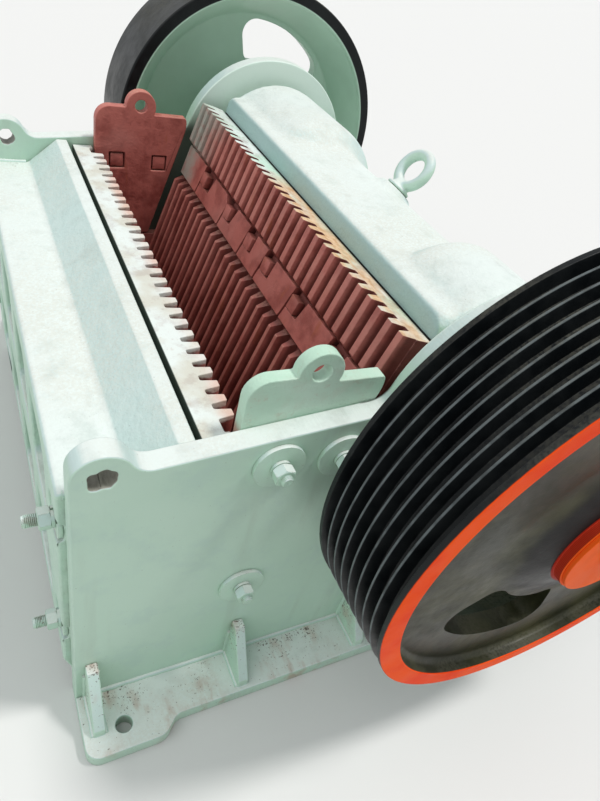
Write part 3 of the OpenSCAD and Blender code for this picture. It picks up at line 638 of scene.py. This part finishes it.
def makeWheelPaint(name, node, mintInside):
    # black wheel with an orange face ring and hub; the flywheel's inner side is mint
    look = wheelLook
    size = wheelSizes
    low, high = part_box(node)
    side = -1 if low[1] < 0 else 1
    hubFace = -low[1] if side < 0 else high[1]
    rimFace = hubFace - size["hubOut"]
    material, tree, shader = newFinish(name)
    place = objectPlace(tree)
    x, y, z = splitPlace(place)
    radius = radiusAbout(x, z)
    out = product(y, side)   # how far out from the middle plane
    flow = useGroup(tree, "paintFlow", Coarse=12.0)
    colour = mixColour(ramp(flow["Tone"], 0.4, 0.66), look["black"], look["blackWorn"])
    inside = ramp(radius, size["rimInner"] + 0.003, size["rimInner"] + 0.006, 1.0, 0.0)
    if mintInside:
        tone = mixColour(noiseNode(place, 6, 5), look["mint"], mintLook["paintPale"])
        colour = mixColour(inside, colour, tone)
    else:
        web = mixColour(ramp(noiseNode(place, 7, 5, 0.6), 0.42, 0.68), look["webBlack"], look["webWorn"])
        around = ramp(shifted(radius, place, 0.03, 14), 0.185, 0.215, 1.0, 0.0)
        web = mixColour(around, web, look["hubBlack"])
        colour = mixColour(inside, colour, web)
        # the lands between the grooves are grey in patches
        land = product(ramp(radius, size["rim"] - 0.0018, size["rim"] - 0.0006),
                       between(out, rimFace - size["grooves"][1], rimFace - size["grooves"][0], 0.001))
        rubbed = ramp(noiseNode(place, 30, 5), 0.3, 0.6, 0.35, 0.85)
        colour = mixColour(product(land, rubbed), colour, look["landGrey"])
    colour = mixColour(useGroup(tree, "edgeWear", Radius=0.003, Amount=0.3)["Mask"], colour, look["edge"])
    settled = useGroup(tree, "dust", Amount=0.35, Patches=6.0)["Mask"]
    colour = mixColour(settled, colour, look["dustColour"])
    wobble = product(mathNode("SUBTRACT", noiseNode(place, 18), 0.5), 0.004)
    innerEdge = mathNode("ADD", radius, wobble)
    ring = product(ramp(innerEdge, size["rimInner"] - 0.0012, size["rimInner"] - 0.0004),
                   ramp(radius, size["rim"] - 0.0012, size["rim"] - 0.0002, 1.0, 0.0),
                   ramp(out, rimFace - 0.0030, rimFace - 0.0018))
    paint = mixColour(ramp(noiseNode(place, 9, 5), 0.4, 0.66), look["orange"], look["orangeDeep"])
    colour = mixColour(ring, colour, paint)
    cap = product(ramp(radius, size["hub"] + 0.004, size["hub"] + 0.007, 1.0, 0.0),
                  ramp(out, rimFace - 0.010, rimFace - 0.006))
    face = product(cap, ramp(out, hubFace - 0.0022, hubFace - 0.0012))
    ringLines = mathNode("SINE", product(out, 2600.0))
    band = mixColour(ramp(ringLines, 0.2, 0.9, 0.0, 0.5), look["orangeBand"], look["bandPale"])
    colour = mixColour(cap, colour, band)
    streaks = noiseNode(place, 10, 5, stretch=(1.0, 1.0, 0.25))
    faceTone = mixColour(ramp(streaks, 0.45, 0.7, 0.0, 0.6), look["hubFace"], look["hubStreak"])
    colour = mixColour(face, colour, faceTone)
    colour = mixColour(useGroup(tree, "spots", Scale=34.0, Cover=0.12)["Mask"], colour, look["scuff"])
    feed(shader.inputs["Base Color"], colour)
    shader.inputs["Specular IOR Level"].default_value = 0.2
    gloss = ramp(flow["Tone"], 0.35, 0.7, 0.30, 0.48)
    matt = mathNode("MAXIMUM", settled,
                    product(mathNode("MAXIMUM", ring, cap), 0.6))
    feed(shader.inputs["Roughness"], mathNode("MULTIPLY_ADD", matt, 0.45, gloss, clamp=True))
    addBump(shader, flow["Height"], 0.0010, 0.5)
    lathe = mathNode("SINE", product(radius, 5200.0))
    addBump(shader, product(lathe, ring), 0.00008, 0.5)
    return material


metalLook = colours(
    steel=(168, 166, 162),
    steelDark=(112, 110, 106),
    spring=(92, 92, 94),
    springDark=(54, 54, 56),
    grease=(50, 42, 32),
    tornPaint=(202, 184, 156),
    tornHole=(126, 122, 108),
)


def makeMetal(name, pale, dark, rough):
    material, tree, shader = newFinish(name)
    flow = useGroup(tree, "paintFlow", Coarse=20.0)
    colour = mixColour(ramp(flow["Tone"], 0.35, 0.65), metalLook[dark], metalLook[pale])
    spots = useGroup(tree, "spots", Scale=60.0, Cover=0.15)["Mask"]
    colour = mixColour(spots, colour, mintLook["rust"])
    # painted shade with grease in the corners
    corners = useGroup(tree, "grime", Reach=0.02, Amount=0.5)["Mask"]
    feed(shader.inputs["Base Color"], mixColour(corners, colour, metalLook["grease"]))
    feed(shader.inputs["Metallic"], ramp(spots, 0.0, 1.0, 1.0, 0.2))
    feed(shader.inputs["Roughness"], ramp(flow["Tone"], 0.3, 0.7, *rough))
    addBump(shader, noiseNode(objectPlace(tree), 400), 0.0003, 0.5)
    return material


nearLugHole = (-0.575, -0.652, 0.754)
farLugHole = (-0.575, 0.652, 0.754)
plateStains = [(nearLugHole, 0.050, 0.9, metalLook["tornPaint"]), (farLugHole, 0.040, 0.6, metalLook["tornPaint"])]
holeStains = [((-0.575, y, 0.754), 0.110, 1.0, metalLook["tornHole"]) for y in (-0.615, 0.615)]

finishes = {
    "platePaint": makeMintPaint("platePaint", wear=0.25, dust=0.4, cutEdges=True, stains=plateStains,
                                over=plateWeather),
    "footPaint": makeMintPaint("footPaint", wear=0.3, dust=0.6, rust=0.08, over=footRust),
    "castPaint": makeMintPaint("castPaint", cast=1.0, wear=0.15, dust=0.5, grime=0.5, stains=holeStains),
    "pitmanPaint": makeMintPaint("pitmanPaint", cast=1.0, wear=0.15, dust=0.5, grime=0.5, over=jawGap),
    "boltPaint": makeMintPaint("boltPaint", cast=0.2, wear=0.5, dust=0.3, rust=0.2),
    "threadPaint": makeMintPaint("threadPaint", wear=0.8, grime=0.8, rust=0.45),
    "weldPaint": makeMintPaint("weldPaint", cast=0.6, wear=0.1, dust=0.3, grime=0.3, rust=0.15),
    "oxide": makeOxide("oxidePrimer", dusty=0.5),
    "fixedJaw": makeOxide("fixedJawPrimer", fixedJawSpray, toothDepth=fixedDepth),
    "movingJaw": makeOxide("movingJawPrimer", movingJawSpray, toothDepth=movingDepth, rubbed=0.5),
    "lowerJaw": makeOxide("lowerJawPrimer", toothDepth=movingDepth),
    "nearCheek": makeOxide("nearCheekPrimer", nearCheekSpray),
    "wedgeOxide": makeOxide("wedgePrimer", wedgeSpray, wear=0.25, dusty=0.2, hollows=0.4,
                            toothDepth=wedgeDepth, rubbed=0.12),
    "pulleyPaint": makeWheelPaint("pulleyPaint", "pulley", False),
    "flywheelPaint": makeWheelPaint("flywheelPaint", "flywheel", True),
    "bareSteel": makeMetal("bareSteel", "steel", "steelDark", (0.28, 0.5)),
    "springSteel": makeMetal("springSteel", "spring", "springDark", (0.3, 0.5)),
}
print("finishes made:", len(finishes))


# Shapes

bodyOf = {node: body for body, nodes in frame["record"]["behaviour"]["bodies"].items() for node in nodes}


def mergedCopy(node):
    # the node's loose triangles joined, each flat side one face
    work = bmesh.new()
    work.from_mesh(frame["nodes"][node].data)
    bmesh.ops.remove_doubles(work, verts=work.verts, dist=0.00002)
    bmesh.ops.dissolve_limit(work, angle_limit=math.radians(0.6), verts=work.verts, edges=work.edges)
    return work


def shadePart(work, limit=32):
    # faces outwards, smooth over gentle bends, crisp at sharper edges
    bmesh.ops.recalc_face_normals(work, faces=work.faces)
    for face in work.faces:
        face.smooth = True
    for edge in work.edges:
        if len(edge.link_faces) == 2:
            edge.smooth = edge.calc_face_angle(0) < math.radians(limit)


def addPiece(name, work, finish, node, replaces=True):
    # a new piece on the node's body, which stands for the node if it replaces it
    for face in work.faces:
        face.smooth = True
    piece = addObject(name, toMesh(name, work))
    piece.data.materials.append(finishes[finish])
    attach(piece, bodyOf[node])
    if replaces:
        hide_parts(node)
    return piece


def addBevel(piece, width, segments=3, angle=28):
    edges = piece.modifiers.new("roundedEdges", "BEVEL")
    edges.width = width
    edges.segments = segments
    edges.limit_method = "ANGLE"
    edges.angle_limit = math.radians(angle)
    edges.use_clamp_overlap = False
    edges.miter_outer = "MITER_ARC"
    even = piece.modifiers.new("evenNormals", "WEIGHTED_NORMAL")
    even.keep_sharp = True
    even.weight = 80


def roundedNode(node, finish, width, change=None, segments=3, angle=28):
    # a CAD node again with its edges rounded; change(work) alters the shape first
    work = mergedCopy(node)
    if change:
        change(work)
    addBevel(addPiece(node + "_rounded", work, finish, node), width, segments, angle)


def castNode(node, finish, voxel, passes):
    # a casting or forging: the shape remeshed fine and smoothed, so that edges and inner corners flow
    rough = addObject("rough", toMesh("rough", mergedCopy(node)))
    remesh = rough.modifiers.new("remesh", "REMESH")
    remesh.mode = "VOXEL"
    remesh.voxel_size = voxel
    smooth = rough.modifiers.new("smooth", "SMOOTH")
    smooth.factor = 0.5
    smooth.iterations = passes
    work = bmesh.new()
    work.from_object(rough, bpy.context.evaluated_depsgraph_get())
    bpy.data.meshes.remove(rough.data)   # and the object with it
    addPiece(node + "_cast", work, finish, node)


def stamp(work, part, place=None):
    # puts a finished small shape into a piece
    if place:
        bmesh.ops.transform(part, matrix=place, verts=part.verts)
    mesh = toMesh("stamp", part)
    work.from_mesh(mesh)
    bpy.data.meshes.remove(mesh)


def turned(profile, steps=48, closed=False):
    # an outline of (radius, height) points spun about Z; a closed outline makes a ring
    part = bmesh.new()
    points = [part.verts.new((radius, 0, height)) for radius, height in profile]
    for first, second in zip(points, points[1:] + ([points[0]] if closed else [])):
        part.edges.new((first, second))
    bmesh.ops.spin(part, geom=part.verts[:] + part.edges[:], cent=(0, 0, 0), axis=(0, 0, 1),
                   angle=2 * math.pi, steps=steps, use_merge=True)
    bmesh.ops.remove_doubles(part, verts=part.verts, dist=0.00001)
    shadePart(part)
    return part


def roundedRing(outer, inner, low, high, edge=0.0012):
    # a washer's outline with rounded rims
    return turned([
        (inner, low), (outer - edge, low), (outer - edge * 0.3, low + edge * 0.3), (outer, low + edge),
        (outer, high - edge), (outer - edge * 0.3, high - edge * 0.3), (outer - edge, high), (inner, high),
    ], 64, closed=True)


def springWasher(outer, inner, low, thick, apart=0.0012, steps=40):
    # a split ring whose two ends stand a little apart
    part = bmesh.new()
    corners = [part.verts.new(point) for point in (
        (inner, 0, low), (outer, 0, low), (outer, 0, low + thick), (inner, 0, low + thick))]
    face = part.faces.new(corners)
    bmesh.ops.spin(part, geom=corners + list(face.edges) + [face], cent=(0, 0, 0), axis=(0, 0, 1),
                   dvec=(0, 0, apart / steps), angle=math.radians(347), steps=steps)
    shadePart(part)
    return part


def hexNut(across, low, high, cuts=7, slope=0.577):
    # a hexagon whose corners are turned off at both ends, at 30 degrees
    part = bmesh.new()
    height = high - low
    corner = across / 2 / math.cos(math.pi / 6)
    bmesh.ops.create_cone(part, cap_ends=True, segments=6, radius1=corner, radius2=corner, depth=height)
    level = [edge for edge in part.edges if abs(edge.verts[0].co.z - edge.verts[1].co.z) < height / 2]
    bmesh.ops.subdivide_edges(part, edges=level, cuts=cuts)
    ends = [face for face in part.faces if abs(face.normal.z) > 0.9]
    bmesh.ops.inset_individual(part, faces=ends, thickness=across * 0.04)
    flat = across * 0.475
    for vert in part.verts:
        radius = vert.co.xy.length
        if any(abs(face.normal.z) > 0.9 and len(face.verts) > 8 for face in vert.link_faces):
            vert.co.xy *= flat / radius
        else:
            vert.co.z -= math.copysign(max(0.0, radius - flat) * slope, vert.co.z)
    bmesh.ops.translate(part, vec=(0, 0, (low + high) / 2), verts=part.verts)
    shadePart(part, 20)
    return part


def threadedStud(radius, low, high, pitch=0.003):
    # a rod with its thread as turned grooves, a chamfer and a centre mark at the end
    deep = radius - pitch * 0.6
    profile = [(0, low), (deep, low)]
    height = low
    while height < high - 0.004:
        profile += [(radius, height + pitch * 0.35), (radius, height + pitch * 0.55), (deep, height + pitch * 0.95)]
        height += pitch
    profile += [(deep, high - 0.001), (deep - 0.001, high), (0.003, high), (0, high - 0.002)]
    return turned(profile, 40)


# Bolts: a plate washer, split washer, chamfered nut and threaded stud end on each

boltSize = {
    "stud": 0.012,
    "washerThick": 0.009,
    "splitThick": 0.0055,
    "splitWide": 0.0075,
    "nutAcross": 0.036,
    "nutThick": 0.0215,
    "nutGap": 0.0006,
}


def nutStack(work, studs, place, washerRadius, studEnd, turn):
    size = boltSize
    stud, washer, split = size["stud"], size["washerThick"], size["splitThick"]
    stack = washer + split + size["nutGap"]
    turnedPlace = place @ Matrix.Rotation(math.radians(turn), 4, "Z")
    for part in (roundedRing(washerRadius, stud, 0, washer),
                 springWasher(stud + size["splitWide"], stud, washer, split),
                 hexNut(size["nutAcross"], stack, stack + size["nutThick"])):
        stamp(work, part, turnedPlace)
    stamp(studs, threadedStud(stud, -0.004, studEnd), turnedPlace)


def shank(work, place, start, end):
    # the plain rod of a bolt
    radius = boltSize["stud"]
    stamp(work, turned([(0, start), (radius, start), (radius, end), (0, end)], 24), place)


def squareHead(work, place, width, low, high):
    part = bmesh.new()
    bmesh.ops.create_cube(part, size=1)
    bmesh.ops.scale(part, vec=(width, width, high - low), verts=part.verts)
    bmesh.ops.translate(part, vec=(0, 0, (low + high) / 2), verts=part.verts)
    bmesh.ops.bevel(part, geom=part.edges[:], offset=0.002, segments=2, profile=0.5, affect="EDGES", material=-1)
    shadePart(part)
    stamp(work, part, place)


cheekBolts = {
    "places": ((-0.276, 0.714), (-0.146, 0.709), (-0.285, 0.339)),
    "turns": (8, 31, 17),
    "washer": 0.050,
    "end": 0.046,
    "head": (0.038, 0.012),   # width and height
}


def addCheekBolts(look, node, side):
    # side is -1 near the pulley and 1 by the flywheel
    headSeat = abs(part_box(node)[0 if side > 0 else 1][1]) - plateOut
    width, height = look["head"]
    work, studs, heads = bmesh.new(), bmesh.new(), bmesh.new()
    for (x, z), turn in zip(look["places"], look["turns"]):
        place = Matrix.Translation((x, side * plateOut, z)) @ Matrix.Rotation(-side * math.pi / 2, 4, "X")
        nutStack(work, studs, place, look["washer"], look["end"], turn)
        squareHead(heads, place, width, headSeat, headSeat + height)
        shank(heads, place, headSeat + height - 0.001, 0.001)
    addPiece(node + "_nuts", work, "boltPaint", node)
    addPiece(node + "_threads", studs, "boltPaint", node, replaces=False)
    addPiece(node + "_heads", heads, "oxide", node, replaces=False)


frontBolts = {"y": 0.590, "levels": (0.583, 0.250), "seat": -0.628, "washer": 0.039, "end": 0.062,
              "turns": (10, 33, 56, 79)}


def addFrontBolts(look):
    node = "fixed_jaw_bolts"
    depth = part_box(node)[1][0] - look["seat"]
    work, studs = bmesh.new(), bmesh.new()
    spots = [(y, z) for y in (-look["y"], look["y"]) for z in look["levels"]]
    for (y, z), turn in zip(spots, look["turns"]):
        place = Matrix.Translation((look["seat"], y, z)) @ Matrix.Rotation(-math.pi / 2, 4, "Y")
        nutStack(work, studs, place, look["washer"], look["end"], turn)
        shank(work, place, -depth, 0.001)
    addPiece(node + "_nuts", work, "boltPaint", node)
    addPiece(node + "_threads", studs, "threadPaint", node, replaces=False)


addCheekBolts(cheekBolts, "cheek_bolts_near", -1)
addCheekBolts(cheekBolts, "cheek_bolts_far", 1)
addFrontBolts(frontBolts)
print("bolts made")


# Plates, walls and jaws with rounded edges

trims = {
    "tearReach": 0.024,
    "tearWaves": ((60, 8, 1.0), (110, 14, 0.3)),   # noise scale along the plate and across it, and its share
    "tipWidth": 0.66,               # of the lower teeth's tips, to the whole tooth
    "cheekBack": 0.034,             # the upper cheek plates end this much earlier
    "cheekFrom": (-0.030, 0.050),   # from this depth behind the movable jaw's tips, over this much
    "jawBack": 0.006,
    "cut": ((0, -0.114), (0.034, -0.140)),   # two points above the wedges, as depth and height in the jaw
}


def tearHole(centre, amount, wider):
    # a flame-cut hole: its rim wanders a little
    def change(work):
        for vert in work.verts:
            x, y, z = vert.co
            offset = Vector((x - centre[0], 0, z - centre[2]))
            if offset.length < trims["tearReach"]:
                shift = wider
                for along, across, share in trims["tearWaves"]:
                    shift += share * amount * noise.noise(Vector((x * along, y * across, z * along)))
                vert.co += offset.normalized() * shift
    return change


def narrowTips(work):
    # the lower teeth are narrower at their tips
    back = jawPlace.inverted()
    for vert in work.verts:
        spot = back @ vert.co
        if spot.x < 0.001:
            middle = (math.floor(spot.y / toothPitch) + 0.5) * toothPitch
            spot.y = middle + (spot.y - middle) * trims["tipWidth"]
            vert.co = jawPlace @ spot


def trimCheek(work):
    # the upper cheek plates end a little before the movable jaw, which leaves a dark gap
    start, over = trims["cheekFrom"]
    back = jawPlace.inverted()
    for vert in work.verts:
        depth = (back @ vert.co).x
        vert.co.x -= trims["cheekBack"] * min(max((depth - start) / over, 0), 1)


def trimUpperJaw(work):
    # the teeth are cut back above the wedges, and the plate leaves a dark gap to the pitman at its top
    back = jawPlace.inverted()
    for vert in work.verts:
        spot = back @ vert.co
        if spot.x > 0.07 and spot.z > -0.01:
            spot.x -= trims["jawBack"]
            vert.co = jawPlace @ spot
    start, end = (Vector((depth, 0, height)) for depth, height in trims["cut"])
    along = end - start
    outward = Vector((along.z, 0, -along.x))
    bmesh.ops.bisect_plane(work, geom=work.verts[:] + work.edges[:] + work.faces[:], dist=0.00001,
                           plane_co=jawPlace @ start, plane_no=jawPlace.to_3x3() @ outward, clear_outer=True)
    bmesh.ops.holes_fill(work, edges=[edge for edge in work.edges if edge.is_boundary])
    bmesh.ops.recalc_face_normals(work, faces=work.faces)


roundedNodes = {   # finish, radius of the edges, change of shape
    "side_plate_near": ("platePaint", 0.0035, tearHole(nearLugHole, 0.009, 0.003)),
    "side_plate_far": ("platePaint", 0.0035, tearHole(farLugHole, 0.006, 0.001)),
    "foot_near": ("footPaint", 0.003),
    "foot_far": ("footPaint", 0.003),
    "front_wall": ("castPaint", 0.006),
    "rear_wall": ("castPaint", 0.005),
    "adjusting_block": ("castPaint", 0.003),
    "adjusting_shims": ("bareSteel", 0.0006),
    "toggle_plate": ("castPaint", 0.004),
    "toggle_seat": ("bareSteel", 0.0015),
    "tension_bar": ("platePaint", 0.002),
    "cheek_upper_near": ("nearCheek", 0.003, trimCheek),
    "cheek_upper_far": ("oxide", 0.003, trimCheek),
    "cheek_lower_near": ("oxide", 0.002),
    "cheek_lower_far": ("oxide", 0.002),
    "fixed_jaw": ("fixedJaw", 0.0025),
    "jaw_upper": ("movingJaw", 0.0022, trimUpperJaw),
    "jaw_lower": ("lowerJaw", 0.0020, narrowTips),
    "bearing_housing_near": ("castPaint", 0.003),
    "bearing_housing_far": ("castPaint", 0.003),
    "bearing_cover_near": ("castPaint", 0.0015),
    "bearing_cover_far": ("castPaint", 0.0015),
    "pitman_end_covers": ("castPaint", 0.001),
    "shaft_collars": ("bareSteel", 0.0015),
    "shaft_end_plates": ("pulleyPaint", 0.0015),
    "eccentric_shaft": ("bareSteel", 0.001),
    "pitman_bearings": ("bareSteel", 0.001),
    "tension_rods": ("bareSteel", 0.001),
    "spring_cups": ("bareSteel", 0.0015),
}
for node, values in roundedNodes.items():
    roundedNode(node, *values)
print("rounded nodes:", len(roundedNodes))


# Clamping wedges across the movable jaw, each but the first with a square-headed bolt in its cut-away corner.
# Measures are from the jaw's tips: across, up the jaw and into it.

wedgeLook = {
    # far and near side at the bottom, and the cut corner's width at the top and at its floor; 0 is uncut
    "row": ((0.5945, 0.452, 0, 0), (0.445, 0.247, 0.096, 0.078), (0.240, 0.085, 0.080, 0.060),
            (0.078, -0.036, 0.062, 0.058), (-0.043, -0.206, 0.064, 0.058), (-0.213, -0.400, 0.076, 0.062),
            (-0.407, -0.5945, 0.074, 0.060)),
    "lean": 0.017,         # how far a side leans towards the near end at the top
    "top": -0.132,
    "bottom": -0.2225,
    "face": wedgeFace,
    "back": 0.0765,
    "notchDepth": 0.017,
    "notchFloor": -0.187,
    "cornerOff": 0.024,    # the near top corner is cut off on the second wedge
    "cornerOffIndex": 1,
    "head": 0.036,
    "headProud": 0.004,
    "headFromSide": 0.031,
    "headLevel": -0.166,
    "boltDepth": 0.060,
    "turns": (3, -4, 2, -2, 4, -3, 1),
}


def outlineSolid(work, outline, front, back):
    # an outline of (across, up) points drawn out from front to back into the jaw
    part = bmesh.new()
    face = part.faces.new([part.verts.new((front, across, up)) for across, up in outline])
    made = bmesh.ops.extrude_face_region(part, geom=[face])
    bmesh.ops.translate(part, vec=(back - front, 0, 0),
                        verts=[item for item in made["geom"] if isinstance(item, bmesh.types.BMVert)])
    bmesh.ops.recalc_face_normals(part, faces=part.faces)
    for face in part.faces:
        face.smooth = True
    stamp(work, part, jawPlace)


def addWedges(look):
    wedges, heads = bmesh.new(), bmesh.new()
    top, bottom, level = look["top"], look["bottom"], look["notchFloor"]
    floor = look["face"] + look["notchDepth"]
    share = (level - bottom) / (top - bottom)
    last = len(look["row"]) - 1
    for index, ((far, near, cutTop, cutFloor), turn) in enumerate(zip(look["row"], look["turns"])):
        farLean = look["lean"] if index > 0 else 0
        nearLean = look["lean"] if index < last else 0
        floorEnd = far - farLean * share
        corner = [(far - cutTop, top), (far - cutFloor, level), (floorEnd, level)] if cutTop else [(far, top)]
        outline = corner + [(far, bottom), (near, bottom)]
        if index == look["cornerOffIndex"]:
            off = look["cornerOff"]
            outline += [(near - nearLean * 0.75, top - off), (near - nearLean + off, top)]
        else:
            outline += [(near - nearLean, top)]
        outlineSolid(wedges, outline, look["face"], look["back"])
        if not cutTop:
            continue
        outlineSolid(wedges, [outline[0], (outline[1][0] - 0.001, level - 0.001), (floorEnd, level - 0.001),
                              (far - farLean, top)], floor, look["back"] - 0.001)
        place = jawPlace @ Matrix.Translation((floor, far - look["headFromSide"], look["headLevel"]))
        place = place @ Matrix.Rotation(-math.pi / 2, 4, "Y") @ Matrix.Rotation(math.radians(turn), 4, "Z")
        squareHead(heads, place, look["head"], -0.0005, look["notchDepth"] + look["headProud"])
        shank(heads, place, 0, -look["boltDepth"])
    addBevel(addPiece("jaw_wedges_cut", wedges, "wedgeOxide", "jaw_wedges"), 0.0018)
    addPiece("jaw_wedge_bolts_heads", heads, "wedgeOxide", "jaw_wedge_bolts")


addWedges(wedgeLook)
print("wedges made")

roundedNode("flywheel", "flywheelPaint", 0.003, segments=2, angle=30)
roundedNode("pulley", "pulleyPaint", 0.0008, segments=2, angle=30)
print("wheels made")

castNode("pitman", "pitmanPaint", 0.0085, 10)
castNode("pitman_lifting_eye", "boltPaint", 0.0028, 8)
print("castings made")


# Springs of the tension rods: round wire with flattened end turns

springLook = {"places": (-0.300, 0.300), "coilRadius": 0.0375, "wire": 0.0062, "turns": 4.0, "stepsPerTurn": 28}


def addSprings(look):
    low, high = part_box("tension_springs")
    wire = look["wire"]
    work = bmesh.new()
    for y in look["places"]:
        part = bmesh.new()
        bmesh.ops.create_circle(part, cap_ends=True, segments=14, radius=wire)
        bmesh.ops.rotate(part, cent=(0, 0, 0), matrix=Matrix.Rotation(math.pi / 2, 3, "X"), verts=part.verts)
        bmesh.ops.translate(part, vec=(look["coilRadius"], 0, wire), verts=part.verts)
        pitch = (high[0] - low[0] - 6 * wire) / look["turns"]
        geometry = part.verts[:] + part.edges[:] + part.faces[:]
        for turns, rise in ((1.0, 2 * wire), (look["turns"], pitch), (1.0, 2 * wire)):
            steps = int(turns * look["stepsPerTurn"])
            made = bmesh.ops.spin(part, geom=geometry, cent=(0, 0, 0), axis=(0, 0, 1),
                                  dvec=(0, 0, rise * turns / steps), angle=2 * math.pi * turns, steps=steps)
            geometry = made["geom_last"]
        bmesh.ops.remove_doubles(part, verts=part.verts, dist=0.00001)
        shadePart(part, 50)
        place = Matrix.Translation((low[0], y, (low[2] + high[2]) / 2)) @ Matrix.Rotation(math.pi / 2, 4, "Y")
        stamp(work, part, place)
    addPiece("tension_springs_coils", work, "springSteel", "tension_springs")


addSprings(springLook)
print("springs made")


# Weld beads, each laid from one point to the next along a joint

weldLook = {
    "size": 0.0075,
    "ripple": 0.008,
    "footTop": 0.040,
    "plateEnd": 0.620,
    "gussets": (-0.605, -0.280, 0.040, 0.400, 0.580),
    "gussetThick": 0.025,
    "gussetTop": 0.136,
    "gussetReach": 0.094,
    "walls": (   # both ends as x and z inside the plates, and the bead's share of the size
        ((-0.628, 0.683), (-0.530, 0.683), 1),
        ((0.515, 0.183), (0.515, 0.425), 1),
        ((0.400, 0.150), (0.400, 0.050), 0.7),
    ),
}


def weldBead(work, start, end, size):
    start, end = Vector(start), Vector(end)
    along = end - start
    line = along.normalized()
    ripple = weldLook["ripple"]
    steps = max(4, int(along.length / ripple * 2))
    part = bmesh.new()
    bmesh.ops.create_circle(part, cap_ends=True, segments=10, radius=size)
    bmesh.ops.transform(part, matrix=Matrix.Translation(start) @ along.to_track_quat("Z", "X").to_matrix().to_4x4(),
                        verts=part.verts)
    bmesh.ops.spin(part, geom=part.verts[:] + part.edges[:] + part.faces[:], cent=start, axis=line,
                   dvec=along / steps, angle=0, steps=steps)
    for vert in part.verts:
        offset = vert.co - start
        travel = offset.dot(line)
        swell = 1 + 0.10 * math.cos(2 * math.pi * travel / ripple) + 0.22 * noise.noise(vert.co * 35)
        vert.co = start + line * travel + (offset - line * travel) * swell
    shadePart(part, 60)
    stamp(work, part)


def addWelds(look):
    work = bmesh.new()
    size, low, end = look["size"], look["footTop"], look["plateEnd"]
    faces = [x + shift for x in look["gussets"] for shift in (0.0, look["gussetThick"])]
    for side in (-1, 1):
        y = side * plateOut
        ends = [-end] + faces + [end]
        for first, second in zip(ends[::2], ends[1::2]):
            if second - first > 0.02:
                weldBead(work, (first, y, low), (second, y, low), size)
        for x in faces:
            weldBead(work, (x, y, low), (x, y, look["gussetTop"]), size * 0.75)
            weldBead(work, (x, y, low), (x, y + side * look["gussetReach"], low), size * 0.75)
        for first, second, share in look["walls"]:
            weldBead(work, *((x, side * plateIn, z) for x, z in (first, second)), size * share)
    addPiece("frame_welds", work, "weldPaint", "side_plate_near", replaces=False)


addWelds(weldLook)
print("welds made")
